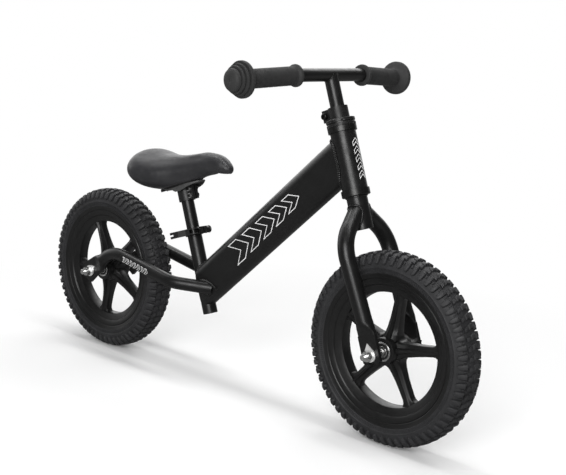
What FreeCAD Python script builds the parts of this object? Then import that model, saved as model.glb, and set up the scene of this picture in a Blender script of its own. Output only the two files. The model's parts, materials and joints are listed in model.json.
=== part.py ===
"""Balance bike: welded steel frame, swivelling fork, two 12 inch foam-tyred wheels.

World frame: origin on the ground midway between the two wheels, +X forward, +Y to the
rider's left, +Z up, millimetres. Three tilted frames are used as well:
  steering frame  z runs up the steering axis from the point nearest the front axle
  seat frame      z runs up the seat tube from its lower end
  axle frames     z runs along the axle, towards the rider's left
"""
import FreeCAD, Part
import math
import os

import Sketcher
from FreeCAD import Placement, Rotation, Vector

SIDES = {"right": -1, "left": 1}
X_AXIS = Vector(1, 0, 0)
Y_AXIS = Vector(0, 1, 0)
Z_AXIS = Vector(0, 0, 1)

document = FreeCAD.newDocument("balance_bike")
sheet = document.addObject("Spreadsheet::Sheet", "dims")

DIMENSIONS = [
    # wheels and overall layout
    ("wheelbase", 657, "between the two axles"),
    ("wheel_radius", 150, "12 inch wheel over the tread"),
    ("tyre_half_width", 22.5, "half of the tyre's width"),
    ("bead_radius", 117.5, "where tyre and rim meet"),
    ("rim_half_width", 20, "half of the rim's width at the bead"),
    ("rim_inner_radius", 88, "outer end of the spoke windows"),
    ("rim_wall", 4, "wall of the moulded rim"),
    ("hub_radius", 21, "moulded hub barrel"),
    ("hub_half_width", 25, "half of the hub's width"),
    ("spoke_root", 12.5, "half width of a spoke at the hub"),
    ("spoke_tip", 8.5, "half width of a spoke at the rim"),
    ("spoke_half_depth", 8, "half depth of a spoke along the axle"),
    ("front_spoke_angle", 82.7, "first spoke of the front wheel, from forward"),
    ("rear_spoke_angle", 115.4, "first spoke of the rear wheel, from forward"),
    # axles and bearings
    ("axle_radius", 4.75, "3/8 inch threaded axle"),
    ("axle_half_length", 73, "half of the axle's length"),
    ("bearing_radius", 15, "outer radius of a hub bearing"),
    ("bearing_bore", 6.5, "inner radius of a hub bearing"),
    ("bearing_width", 9, "width of a hub bearing"),
    ("bearing_proud", 1, "how far a bearing stands out of the hub"),
    ("dropout_gap", 48, "centre plane to the inner face of a dropout"),
    ("dropout_thickness", 6, "flattened tube end"),
    ("fork_blade_half_width", 16, "flattened lower end of a fork leg"),
    ("fork_blade_tail", 14, "fork blade below the axle"),
    ("fork_blade_corner", 4, "corner cut off the fork blade"),
    ("fork_taper_top", 51, "height above the axle where a leg starts to flatten"),
    ("stay_blade_half_width", 16.6, "flattened end of a chainstay"),
    ("stay_taper_top", 46, "distance from the axle where a chainstay starts to flatten"),
    ("stay_slot_turn", 31, "rear slot, in degrees round from the tube's line"),
    ("spacer_radius", 8.2, "collar between bearing and dropout"),
    ("axle_groove", 1.5, "thread run-out outside the nut"),
    ("tab_washer_thickness", 2, "keyed washer against the dropout"),
    ("tab_washer_radius", 10, "keyed washer"),
    ("tab_reach", 18, "from the axle to the tip of the washer's tab"),
    ("axle_nut_flats", 15, "across the flats"),
    ("axle_nut_height", 9, "along the axle"),
    # steering
    ("head_tilt", 20, "steering axis from vertical, degrees"),
    ("fork_rake", 5.6, "front axle ahead of the steering axis"),
    ("head_tube_bottom", 247, "along the steering axis, above the axle"),
    ("head_tube_length", 90, "head tube"),
    ("head_tube_radius", 20, "outside of the head tube"),
    ("head_tube_bore", 17, "inside of the head tube"),
    ("lower_cup_radius", 22.2, "outside of the lower headset cup"),
    ("upper_cup_radius", 22.6, "outside of the upper headset parts"),
    ("cup_bore", 14.5, "clear hole through both cups"),
    ("ball_radius", 2.4, "headset balls"),
    ("ball_ring_radius", 16.2, "centres of the headset balls"),
    ("ball_play", 0.05, "ball to race"),
    ("ball_count", 14, "balls in each ring"),
    ("steerer_radius", 12.7, "one inch steerer tube"),
    ("steerer_bore", 11.15, "inside of the steerer tube"),
    ("steerer_top", 374, "top of the steerer, on the steering axis"),
    ("crown_bottom", 185, "lower end of the crown sleeve"),
    ("crown_height", 50, "crown sleeve"),
    ("crown_radius", 16.2, "crown sleeve"),
    ("steerer_clamp_bottom", 357, "clamp collar on the steerer"),
    ("steerer_clamp_height", 19, "clamp collar on the steerer"),
    ("fork_leg_radius", 12.7, "fork leg tube"),
    ("fork_leg_top", 221, "where a leg's centre line meets the steering axis"),
    ("fork_leg_corner", 170.7, "height of the corner of a leg's centre line"),
    ("fork_leg_offset", 54, "straight part of a leg from the centre plane"),
    ("fork_leg_bend", 60, "bend radius of a leg"),
    ("tube_wall", 1.8, "wall of the frame tubes"),
    # handlebar
    ("bar_height", 426.8, "bar centre, on the steering axis"),
    ("bar_radius", 10.2, "cross bar"),
    ("bar_half_length", 200, "end of the cross bar from the centre"),
    ("bar_bend_start", 62, "where the cross bar bends back"),
    ("bar_sweep_angle", 5.8, "backward sweep of the bar's ends, degrees"),
    ("bar_drop_angle", 1.2, "downward slope of the bar's ends, degrees"),
    ("bar_bend_radius", 160, "bend radius of the bar"),
    ("stem_radius", 11.1, "post that slides in the steerer"),
    ("stem_bottom", 290, "lower end of the post"),
    ("grip_start", 77, "inner end of a grip, from the centre"),
    ("grip_length", 131, "whole grip with its end"),
    ("grip_radius", 14.2, "hand part of a grip"),
    ("grip_flange_radius", 17, "flange at the inner end"),
    ("grip_bell_radius", 27, "stepped safety end"),
    # seat tube, post and down tube
    ("seat_tilt", 20, "seat tube from vertical, degrees"),
    ("seat_foot_x", -60.7, "lower end of the seat tube"),
    ("seat_foot_z", 118.3, "lower end of the seat tube"),
    ("seat_tube_radius", 12.7, "seat tube"),
    ("seat_tube_bore", 11.15, "inside of the seat tube"),
    ("seat_tube_length", 150, "seat tube with its plug"),
    ("seat_post_bottom", 65, "lower end of the seat post, on the seat axis"),
    ("seat_post_top", 226, "upper end of the seat post, on the seat axis"),
    ("seat_clamp_bottom", 139, "quick-release collar"),
    ("seat_clamp_height", 12, "quick-release collar"),
    ("down_tube_height", 68, "oval section, long way"),
    ("down_tube_width", 36, "oval section, short way"),
    ("down_tube_low", 46.9, "its centre line meets the seat axis here"),
    ("down_tube_high", 300.4, "its centre line meets the steering axis here"),
    ("down_tube_cap", 30, "length of the closed end at the seat tube"),
    ("chainstay_radius", 11.1, "chainstay tube"),
    ("chainstay_bend", 60, "bend radius of a chainstay"),
    ("stay_joint_x", -46, "where a chainstay's centre line ends inside the down tube"),
    ("stay_joint_y", 12, "same, from the centre plane"),
    ("stay_joint_z", 167.6, "same, above the ground"),
    ("stay_corner_x", -110, "where a chainstay turns to run beside the wheel"),
    ("stay_corner_z", 172, "same, above the ground"),
    ("stay_arch_x", -267, "top of the arch over the rear axle"),
    ("stay_arch_z", 198.6, "same, above the ground"),
    # saddle
    ("saddle_sleeve_bottom", 201, "clamp sleeve on the seat post"),
    ("saddle_sleeve_height", 25, "clamp sleeve on the seat post"),
    ("saddle_plate_thickness", 3, "stamped plate"),
    ("saddle_flange_depth", 8, "sides of the plate, bent down"),
    ("saddle_base_thickness", 6, "plastic base"),
    ("saddle_base_front", 46, "front end of the base, ahead of the post"),
    # quick release
    ("lever_pivot_x", 20, "skewer ahead of the seat axis"),
    ("lever_pivot_y", 19, "lever pivot from the centre plane, to the right"),
    ("lever_head_radius", 7, "cam head of the lever"),
    ("lever_height", 11, "lever, along the seat axis"),
    ("lever_length", 42, "pivot to tip"),
    ("lever_rest_angle", 217.6, "lever at rest, from forward, degrees"),
    ("skewer_radius", 2.5, "quick-release skewer"),
    ("pivot_pin_radius", 2.45, "pin of the cam lever"),
]


def fill_sheet():
    for row, (alias, value, note) in enumerate(DIMENSIONS, start=1):
        sheet.set(f"A{row}", note)
        sheet.set(f"B{row}", str(value))
        sheet.setAlias(f"B{row}", alias)
    document.recompute()


def dim(alias):
    return float(getattr(sheet, alias))


def value_of(expression):
    """The number that an expression on the sheet gives."""
    return float(sheet.evalExpression(str(expression)))


# ---------------------------------------------------------------- building blocks

def new_body(name):
    body = document.addObject("PartDesign::Body", name)
    body.Label = name
    return body


def new_sketch(body, name, role="XY_Plane", offset=None):
    """A sketch on one of the body's own origin planes, shifted along its normal."""
    sketch = body.newObject("Sketcher::SketchObject", name)
    plane = next(item for item in body.Origin.OriginFeatures if item.Role == role)
    sketch.AttachmentSupport = [(plane, "")]
    sketch.MapMode = "FlatFace"
    if offset is not None:
        sketch.setExpression("AttachmentOffset.Base.z", str(offset))
    return sketch


def pin_point(sketch, line, axis, expression):
    """Hold the start of a line at a coordinate given by a sheet expression."""
    value = value_of(expression)
    if abs(value) < 1e-9:
        own_axis = -2 if axis == "DistanceX" else -1
        sketch.addConstraint(Sketcher.Constraint("PointOnObject", line, 1, own_axis))
        return
    index = sketch.addConstraint(Sketcher.Constraint(axis, -1, 1, line, 1, value))
    sketch.setExpression(f"Constraints[{index}]", str(expression))


def draw_outline(sketch, corners):
    """A closed outline of straight lines; corners are pairs of sheet expressions."""
    places = [Vector(value_of(x), value_of(y), 0) for x, y in corners]
    count = len(corners)
    lines = []
    for index, place in enumerate(places):
        segment = Part.LineSegment(place, places[(index + 1) % count])
        lines.append(sketch.addGeometry(segment, False))
    for index, line in enumerate(lines):
        following = lines[(index + 1) % count]
        sketch.addConstraint(Sketcher.Constraint("Coincident", line, 2, following, 1))
    for line, (x, y) in zip(lines, corners):
        pin_point(sketch, line, "DistanceX", x)
        pin_point(sketch, line, "DistanceY", y)


def turned(name, outline, placement):
    """A turned piece: outline corners are (radius, height along the local z axis)."""
    body = new_body(name)
    sketch = new_sketch(body, name + "_profile", "XZ_Plane")
    draw_outline(sketch, outline)
    revolution = body.newObject("PartDesign::Revolution", name + "_revolution")
    revolution.Profile = sketch
    revolution.ReferenceAxis = (sketch, ["V_Axis"])
    revolution.Angle = 360
    sketch.Visibility = False
    body.Placement = placement
    return body


def ring(name, inner, outer, low, high, placement):
    corners = [(inner, low), (outer, low), (outer, high), (inner, high)]
    return turned(name, corners, placement)


def bind(item, **expressions):
    for field, expression in expressions.items():
        item.setExpression(field, str(expression))
    return item


def solid_cylinder(name, radius, height, base=Vector(), turn=Rotation()):
    item = document.addObject("Part::Cylinder", name)
    item.Placement = Placement(base, turn)
    return bind(item, Radius=radius, Height=height)


def solid_box(name, length, width, height, corner):
    """A box; corner holds three sheet expressions for its lowest corner."""
    item = document.addObject("Part::Box", name)
    bind(item, Length=length, Width=width, Height=height)
    for axis, expression in zip("xyz", corner):
        item.setExpression(f"Placement.Base.{axis}", str(expression))
    return item


def joined(name, pieces):
    item = document.addObject("Part::MultiFuse", name)
    item.Shapes = pieces
    return item


def minus(name, base, tool):
    item = document.addObject("Part::Cut", name)
    item.Base = base
    item.Tool = tool
    return item


def grouped(name, pieces):
    item = document.addObject("Part::Compound", name)
    item.Links = pieces
    return item


def named(item, name, placement):
    item.Label = name
    item.Placement = placement
    return item


def fixed_shape(name, shape, placement=Placement()):
    item = document.addObject("Part::Feature", name)
    item.Label = name
    item.Shape = shape
    item.Placement = placement
    return item


def point_along_y(base, toward=1):
    """A placement whose z axis runs along +Y, or along -Y."""
    return Placement(base, Rotation(X_AXIS, -90 * toward))


# ---------------------------------------------------------------- frames

def steering_frame():
    """z runs up the steering axis, x forward, from the point nearest the front axle."""
    tilt = math.radians(dim("head_tilt"))
    rake = dim("fork_rake")
    foot_x = dim("wheelbase") / 2 - rake * math.cos(tilt)
    foot_z = dim("wheel_radius") - rake * math.sin(tilt)
    return Placement(Vector(foot_x, 0, foot_z), Rotation(Y_AXIS, -dim("head_tilt")))


def seat_frame():
    foot = Vector(dim("seat_foot_x"), 0, dim("seat_foot_z"))
    return Placement(foot, Rotation(Y_AXIS, -dim("seat_tilt")))


def axle_frame(end):
    """z runs along the axle to the rider's left, x stays forward."""
    forward = dim("wheelbase") / 2 * end
    return point_along_y(Vector(forward, 0, dim("wheel_radius")))


def down_tube_frame():
    """z runs up the down tube's centre line from the seat axis, x is its short upper side."""
    low = seat_frame().multVec(Vector(0, 0, dim("down_tube_low")))
    high = steering_frame().multVec(Vector(0, 0, dim("down_tube_high")))
    run = high - low
    slope = math.degrees(math.atan2(run.x, run.z))
    return Placement(low, Rotation(Y_AXIS, slope)), run.Length


# ---------------------------------------------------------------- bent tubes

def rounded_path(corners, bend_radius):
    """Straight runs joined by tangent arcs of one radius."""
    edges = []
    start = corners[0]
    for before, corner, after in zip(corners, corners[1:], corners[2:]):
        back = (before - corner).normalize()
        ahead = (after - corner).normalize()
        half_turn = (math.pi - back.getAngle(ahead)) / 2
        tangent = bend_radius * math.tan(half_turn)
        entry = corner + back * tangent
        leave = corner + ahead * tangent
        inward = (back + ahead).normalize()
        middle = corner + inward * (bend_radius / math.cos(half_turn) - bend_radius)
        edges.append(Part.LineSegment(start, entry).toShape())
        edges.append(Part.Arc(entry, middle, leave).toShape())
        start = leave
    edges.append(Part.LineSegment(start, corners[-1]).toShape())
    return Part.Wire(edges)


def swept_round(path, radius):
    first = path.Edges[0]
    start = first.valueAt(first.FirstParameter)
    heading = first.tangentAt(first.FirstParameter)
    section = Part.Wire(Part.Circle(start, heading, radius).toShape())
    return path.makePipeShell([section], True, False)


def bent_tube(corners, radius, bend_radius, wall):
    """A hollow tube along a rounded path."""
    path = rounded_path(corners, bend_radius)
    return swept_round(path, radius).cut(swept_round(path, radius - wall))


# ---------------------------------------------------------------- shared small parts

def clamp_collar(name, size, placement):
    """A split ring with two ears and one or more screw holes through them.

    size gives bore, outside, low, height, reach, ear, slot, hole, holes and toward:
    the ears reach out along +x or -x, and holes are heights of the screws.
    """
    low = size["low"]
    height = size["height"]
    toward = size["toward"]
    outer = solid_cylinder(name + "_ring", size["outside"], height, Vector(0, 0, value_of(low)))
    ear_start = "0" if toward > 0 else f"-({size['reach']})"
    ear_corner = (ear_start, f"-({size['ear']})", low)
    ears = solid_box(name + "_ears", size["reach"], f"2 * ({size['ear']})", height, ear_corner)
    whole = joined(name + "_blank", [outer, ears])
    bore = solid_cylinder(name + "_bore", size["bore"], height, Vector(0, 0, value_of(low)))
    slot_start = "0" if toward > 0 else f"-({size['reach']}) - 1"
    slot_corner = (slot_start, f"-({size['slot']})", f"({low}) - 1")
    slot_length = f"({size['reach']}) + 1"
    slot = solid_box(name + "_slot", slot_length, f"2 * ({size['slot']})",
                     f"({height}) + 2", slot_corner)
    cutters = [bore, slot]
    ear_width = value_of(size["ear"])
    for index, screw_height in enumerate(size["holes"]):
        base = Vector(toward * size["screw_x"], -ear_width - 1, value_of(screw_height))
        hole = solid_cylinder(f"{name}_hole{index}", size["hole"], 2 * ear_width + 2,
                              base, Rotation(X_AXIS, -90))
        cutters.append(hole)
    collar = minus(name, whole, joined(name + "_cutters", cutters))
    return named(collar, name, placement)


def hex_nut(name, flats, height, bore, placement):
    """A hexagon nut standing on the placement's origin, with its hole along local z."""
    blank = document.addObject("Part::Prism", name + "_blank")
    blank.Polygon = 6
    bind(blank, Circumradius=f"({flats}) / sqrt(3)", Height=height)
    hole = solid_cylinder(name + "_hole", bore, height)
    nut = minus(name, blank, hole)
    nut.Placement = placement
    return nut


def cap_screw(name, radius, length, head_radius, head_height, placement):
    """A socket screw: head below the origin, shank up the local z axis."""
    socket = head_radius * 0.5
    socket_depth = head_height * 0.6
    outline = [(0, socket_depth - head_height), (socket, socket_depth - head_height),
               (socket, -head_height), (head_radius - 0.6, -head_height),
               (head_radius, 0.6 - head_height), (head_radius, 0),
               (radius, 0), (radius, length), (0, length)]
    return turned(name, outline, placement)


# ---------------------------------------------------------------- welded frame

def make_head_tube():
    low = "dims.head_tube_bottom"
    high = "dims.head_tube_bottom + dims.head_tube_length"
    return ring("head_tube", "dims.head_tube_bore", "dims.head_tube_radius", low, high,
                steering_frame())


def draw_oval(sketch, half_straight, radius):
    """A long round-ended outline along the sketch's x axis."""
    run = value_of(half_straight)
    turn = value_of(radius)
    front = Part.ArcOfCircle(Part.Circle(Vector(run, 0, 0), Z_AXIS, turn),
                             -math.pi / 2, math.pi / 2)
    back = Part.ArcOfCircle(Part.Circle(Vector(-run, 0, 0), Z_AXIS, turn),
                            math.pi / 2, 3 * math.pi / 2)
    front_arc = sketch.addGeometry(front, False)
    back_arc = sketch.addGeometry(back, False)
    upper = Part.LineSegment(Vector(run, turn, 0), Vector(-run, turn, 0))
    lower = Part.LineSegment(Vector(-run, -turn, 0), Vector(run, -turn, 0))
    upper_line = sketch.addGeometry(upper, False)
    lower_line = sketch.addGeometry(lower, False)
    for line, line_end, arc, arc_end in ((upper_line, 1, front_arc, 2),
                                         (upper_line, 2, back_arc, 1),
                                         (lower_line, 1, back_arc, 2),
                                         (lower_line, 2, front_arc, 1)):
        sketch.addConstraint(Sketcher.Constraint("Tangent", line, line_end, arc, arc_end))
    for arc in (front_arc, back_arc):
        sketch.addConstraint(Sketcher.Constraint("PointOnObject", arc, 3, -1))
    index = sketch.addConstraint(Sketcher.Constraint("Radius", front_arc, turn))
    sketch.setExpression(f"Constraints[{index}]", radius)
    for arc, sign in ((front_arc, 1), (back_arc, -1)):
        held = Sketcher.Constraint("DistanceX", -1, 1, arc, 3, sign * run)
        index = sketch.addConstraint(held)
        sketch.setExpression(f"Constraints[{index}]", f"{sign} * ({half_straight})")


def oval_bar(name, inset, start, length):
    """A length of the down tube's section, made smaller all round by inset."""
    body = new_body(name)
    sketch = new_sketch(body, name + "_section", "XY_Plane", start)
    draw_oval(sketch, "(dims.down_tube_height - dims.down_tube_width) / 2",
              f"dims.down_tube_width / 2 - ({inset})")
    pad = body.newObject("PartDesign::Pad", name + "_pad")
    pad.Profile = sketch
    pad.Length = length
    sketch.Visibility = False
    return body


def make_down_tube():
    """The oval tube, trimmed to the head tube and the seat tube that it is welded to.

    Its lower end is closed. The outer blank is returned too, because the chainstays are
    trimmed against it.
    """
    placement, length = down_tube_frame()
    overlap = 20
    outer = oval_bar("down_tube_blank", "0", f"-{overlap}", length + overlap)
    outer.Placement = placement
    inner = oval_bar("down_tube_hollow", "dims.tube_wall", "dims.down_tube_cap", length)
    inner.Placement = placement
    long_enough = 400
    head = solid_cylinder("head_tube_envelope", "dims.head_tube_radius", long_enough)
    head.Placement = steering_frame().multiply(Placement(Vector(0, 0, 150), Rotation()))
    seat = solid_cylinder("seat_tube_envelope", "dims.seat_tube_radius", long_enough)
    seat.Placement = seat_frame().multiply(Placement(Vector(0, 0, -100), Rotation()))
    behind = document.addObject("Part::Box", "behind_seat_axis")
    behind.Length = 100
    behind.Width = 100
    behind.Height = long_enough
    corner = Vector(-100, -50, -100)
    behind.Placement = seat_frame().multiply(Placement(corner, Rotation()))
    cutters = joined("down_tube_cutters", [inner, head, seat, behind])
    tube = minus("down_tube", outer, cutters)
    tube.Label = "down_tube"
    return tube, outer


def make_seat_tube():
    return ring("seat_tube", "dims.seat_tube_bore", "dims.seat_tube_radius", 3,
                "dims.seat_tube_length", seat_frame())


def make_seat_tube_plug():
    rim = "dims.seat_tube_radius"
    bore = "dims.seat_tube_bore"
    outline = [(0, 0), (f"{rim} - 0.8", 0), (rim, 0.8), (rim, 3), (bore, 3), (bore, 15), (0, 15)]
    return turned("seat_tube_plug", outline, seat_frame())


# how far a pressed end stands proud of its tube, and how far the tube runs into it
WELD_LIP = 0.25
WELD_OVERLAP = 1.5
# play of an axle in its slot, all round
AXLE_PLAY = 0.15


def soft_section(half_width, half_thickness, squareness, place):
    """A closed section that goes from a circle (2) towards a rectangle as squareness grows."""
    points = []
    count = 32
    for step in range(count):
        angle = 2 * math.pi * (step + 0.5) / count
        cos, sin = math.cos(angle), math.sin(angle)
        across = math.copysign(abs(cos) ** (2 / squareness), cos) * half_width
        through = math.copysign(abs(sin) ** (2 / squareness), sin) * half_thickness
        points.append(place + Vector(across, through, 0))
    curve = Part.BSplineCurve()
    curve.interpolate(points, PeriodicFlag=True)
    return Part.Wire(curve.toShape())


def flattened_end(radius, flat_half_width, taper, plate, slot_turn):
    """A round tube pressed flat into a plate that holds an axle.

    The axle is at the origin, along y. The tube comes down z: it is round at taper[0] and
    flat at taper[1]. plate is the outline of the flat part in x and z, and its slot opens
    slot_turn degrees round from straight down.
    """
    half_thickness = dim("dropout_thickness") / 2
    radius += WELD_LIP
    sections = []
    stations = 5
    for step in range(stations):
        share = step / (stations - 1)
        eased = share * share * (3 - 2 * share)
        place = Vector(0, 0, taper[0] + (taper[1] - taper[0]) * share)
        sections.append(soft_section(radius + (flat_half_width - radius) * eased,
                                     radius + (half_thickness - radius) * eased,
                                     2 + 3 * eased, place))
    tapered = Part.makeLoft(sections, True)
    thickness = 2 * half_thickness
    corners = [Vector(x, -half_thickness, z) for x, z in plate]
    blade = Part.Face(Part.makePolygon(corners + corners[:1])).extrude(Y_AXIS * thickness)
    slot_radius = dim("axle_radius") + AXLE_PLAY
    slot_depth = 60
    slot = Part.makeBox(2 * slot_radius, thickness, slot_depth,
                        Vector(-slot_radius, -half_thickness, -slot_depth))
    slot.rotate(Vector(), Y_AXIS, slot_turn)
    start = Vector(0, -half_thickness, 0)
    hole = Part.makeCylinder(slot_radius, thickness, start, Y_AXIS)
    return tapered.fuse(blade).cut(slot.fuse(hole))


def make_chainstay(side_name, blank):
    """A tube from the down tube's side, over the axle, flattened into its own dropout."""
    side = SIDES[side_name]
    radius = dim("chainstay_radius")
    half_thickness = dim("dropout_thickness") / 2
    blade_y = side * (dim("dropout_gap") + half_thickness)
    axle = Vector(-dim("wheelbase") / 2, blade_y, dim("wheel_radius"))
    joint = Vector(dim("stay_joint_x"), side * dim("stay_joint_y"), dim("stay_joint_z"))
    outer_corner = Vector(dim("stay_corner_x"), blade_y, dim("stay_corner_z"))
    arch_corner = Vector(dim("stay_arch_x"), blade_y, dim("stay_arch_z"))
    heading = (arch_corner - axle).normalize()
    taper = (dim("stay_taper_top"), 24)
    tube_end = axle + heading * (taper[0] - WELD_OVERLAP)
    corners = [joint, outer_corner, arch_corner, tube_end]
    tube = bent_tube(corners, radius, dim("chainstay_bend"), dim("tube_wall"))
    # along and across the tube: two corners at the crease, three round the axle
    plate = [(-16, 27), (15, 24), (18, -12.5), (5, -17.5), (-20, -9.5)]
    slope = math.degrees(math.atan2(heading.x, heading.z))
    end = flattened_end(radius, dim("stay_blade_half_width"), taper, plate,
                        dim("stay_slot_turn"))
    end.Placement = Placement(axle, Rotation(Y_AXIS, slope))
    raw = fixed_shape(f"chainstay_{side_name}_raw", tube.fuse(end))
    stay = minus(f"chainstay_{side_name}", raw, blank)
    stay.Label = f"chainstay_{side_name}"
    return stay


# ---------------------------------------------------------------- headset

HEAD_TOP = "(dims.head_tube_bottom + dims.head_tube_length)"
CROWN_TOP = "(dims.crown_bottom + dims.crown_height)"
RACE_TOP = f"({CROWN_TOP} + 4)"
BALL_SPACE = "(2 * (dims.ball_radius + dims.ball_play))"
CUP_FLOOR = f"({HEAD_TOP} + 3)"
CONE_LOW = f"({CUP_FLOOR} + {BALL_SPACE})"


def make_lower_cup():
    low = "dims.head_tube_bottom"
    outside = "dims.lower_cup_radius"
    roof = f"{RACE_TOP} + {BALL_SPACE}"
    bowl = "dims.ball_ring_radius + dims.ball_radius + 0.6"
    outline = [(bowl, f"{low} - 10.5"), (f"{outside} - 1", f"{low} - 10.5"),
               (outside, f"{low} - 9.5"), (outside, low), ("dims.head_tube_bore", low),
               ("dims.head_tube_bore", f"{low} + 8"), ("dims.cup_bore", f"{low} + 8"),
               ("dims.cup_bore", roof), (bowl, roof)]
    return turned("headset_lower_cup", outline, steering_frame())


def make_upper_cup():
    outside = "dims.upper_cup_radius"
    bowl = "dims.ball_ring_radius + dims.ball_radius + 0.4"
    outline = [("dims.cup_bore", f"{HEAD_TOP} - 8"), ("dims.head_tube_bore", f"{HEAD_TOP} - 8"),
               ("dims.head_tube_bore", HEAD_TOP), (outside, HEAD_TOP),
               (outside, f"{HEAD_TOP} + 8"), (bowl, f"{HEAD_TOP} + 8"),
               (bowl, CUP_FLOOR), ("dims.cup_bore", CUP_FLOOR)]
    return turned("headset_upper_cup", outline, steering_frame())


def make_ball_ring(name, height):
    """Loose balls in a ring about the steering axis."""
    count = int(dim("ball_count"))
    reach = dim("ball_ring_radius")
    middle = value_of(height)
    balls = []
    for index in range(count):
        angle = 2 * math.pi * index / count
        ball = document.addObject("Part::Sphere", f"{name}_{index}")
        bind(ball, Radius="dims.ball_radius")
        place = Vector(reach * math.cos(angle), reach * math.sin(angle), middle)
        ball.Placement = Placement(place, Rotation())
        balls.append(ball)
    return named(grouped(name, balls), name, steering_frame())


def make_crown_race():
    bore = "dims.steerer_radius"
    outline = [(bore, CROWN_TOP), (18, CROWN_TOP), (18, f"{CROWN_TOP} + 3"),
               (17, RACE_TOP), (bore, RACE_TOP)]
    return turned("headset_crown_race", outline, steering_frame())


def make_cone():
    bore = "dims.steerer_radius"
    outside = "dims.upper_cup_radius"
    shoulder = f"{HEAD_TOP} + 9"
    outline = [(bore, CONE_LOW), (18, CONE_LOW), (18, shoulder), (outside, shoulder),
               (outside, f"{shoulder} + 4"), (bore, f"{shoulder} + 4")]
    return turned("headset_cone", outline, steering_frame())


def make_keyed_washer():
    low = f"{HEAD_TOP} + 13"
    return ring("headset_washer", "dims.steerer_radius", "dims.upper_cup_radius - 1", low,
                f"{low} + 1.5", steering_frame())


def make_locknut():
    bore = "dims.steerer_radius"
    outside = "dims.upper_cup_radius"
    low = f"{HEAD_TOP} + 14.5"
    outline = [(bore, low), (outside, low), (outside, f"{low} + 4"),
               (f"{outside} - 1.2", f"{low} + 5.2"), (bore, f"{low} + 5.2")]
    return turned("headset_locknut", outline, steering_frame())


# ---------------------------------------------------------------- fork

def make_steerer():
    return ring("steerer_tube", "dims.steerer_bore", "dims.steerer_radius",
                "dims.crown_bottom", "dims.steerer_top", steering_frame())


def make_crown_sleeve():
    return ring("fork_crown", "dims.steerer_radius", "dims.crown_radius",
                "dims.crown_bottom", CROWN_TOP, steering_frame())


def make_fork_leg(side_name, sleeve_envelope):
    """A tube from the crown sleeve, bent down beside the wheel, with a flattened end."""
    side = SIDES[side_name]
    radius = dim("fork_leg_radius")
    offset = dim("fork_leg_offset")
    half_thickness = dim("dropout_thickness") / 2
    blade_y = dim("dropout_gap") + half_thickness
    taper = (dim("fork_taper_top"), 28)
    rake = dim("fork_rake")
    corners = [Vector(0, 0, dim("fork_leg_top")),
               Vector(0, side * offset, dim("fork_leg_corner")),
               Vector(rake, side * blade_y, taper[0] - WELD_OVERLAP)]
    tube = bent_tube(corners, radius, dim("fork_leg_bend"), dim("tube_wall"))
    width = dim("fork_blade_half_width")
    tail = dim("fork_blade_tail")
    cut = dim("fork_blade_corner")
    plate_top = taper[1] + 2
    plate = [(-width, plate_top), (width, plate_top), (width, cut - tail), (width - cut, -tail),
             (cut - width, -tail), (-width, cut - tail)]
    end = flattened_end(radius, width, taper, plate, 0)
    end.Placement = Placement(Vector(rake, side * blade_y, 0), Rotation())
    own_side = Part.makeBox(200, 200, 400, Vector(-100, 0 if side > 0 else -200, -50))
    raw = fixed_shape(f"fork_leg_{side_name}_raw", tube.fuse(end).common(own_side))
    leg = minus(f"fork_leg_{side_name}", raw, sleeve_envelope)
    return named(leg, f"fork_leg_{side_name}", steering_frame())


def make_fork_legs():
    envelope = solid_cylinder("crown_envelope", "dims.crown_radius", 200,
                              Vector(0, 0, dim("crown_bottom") - 40))
    return [make_fork_leg(side_name, envelope) for side_name in SIDES]


def make_steerer_clamp():
    low = "dims.steerer_clamp_bottom"
    height = "dims.steerer_clamp_height"
    middle = f"{low} + {height} / 2"
    screw_x = 21
    ear = 7
    size = {"bore": "dims.steerer_radius", "outside": "dims.steerer_radius + 2.8",
            "low": low, "height": height, "toward": -1, "reach": 27, "ear": ear,
            "slot": 1.5, "hole": 3.1, "holes": [middle], "screw_x": screw_x}
    frame = steering_frame()
    collar = clamp_collar("steerer_clamp", size, frame)
    screw_height = value_of(middle)
    head_side = Vector(-screw_x, -ear, screw_height)
    screw = cap_screw("steerer_clamp_screw", 3, 2 * ear + 6.5, 5, 6,
                      frame.multiply(point_along_y(head_side, 1)))
    nut_side = Vector(-screw_x, ear, screw_height)
    nut = hex_nut("steerer_clamp_nut", 10, 5, 3, frame.multiply(point_along_y(nut_side, 1)))
    return [collar, screw, nut]


# ---------------------------------------------------------------- handlebar

def bar_end_direction(side):
    back = math.sin(math.radians(dim("bar_sweep_angle")))
    down = math.sin(math.radians(dim("bar_drop_angle")))
    across = math.sqrt(1 - back * back - down * down)
    return Vector(-back, side * across, -down)


def bar_corner(side):
    return Vector(0, side * dim("bar_bend_start"), dim("bar_height"))


def bar_point(side, reach):
    """A point of the bar's swept end, reach from the centre plane."""
    direction = bar_end_direction(side)
    run = (reach - dim("bar_bend_start")) / abs(direction.y)
    return bar_corner(side) + direction * run


def make_handlebar():
    ends = [bar_point(side, dim("bar_half_length")) for side in (-1, 1)]
    corners = [ends[0], bar_corner(-1), bar_corner(1), ends[1]]
    shape = bent_tube(corners, dim("bar_radius"), dim("bar_bend_radius"), 1.6)
    return fixed_shape("handlebar_bar", shape, steering_frame())


def make_stem_post():
    post = ring("stem_post_blank", "dims.stem_radius - dims.tube_wall", "dims.stem_radius",
                "dims.stem_bottom", "dims.bar_height", Placement())
    base = Vector(0, -50, dim("bar_height"))
    bar = solid_cylinder("bar_envelope", "dims.bar_radius", 100, base, Rotation(X_AXIS, -90))
    return named(minus("stem_post", post, bar), "stem_post", steering_frame())


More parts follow.
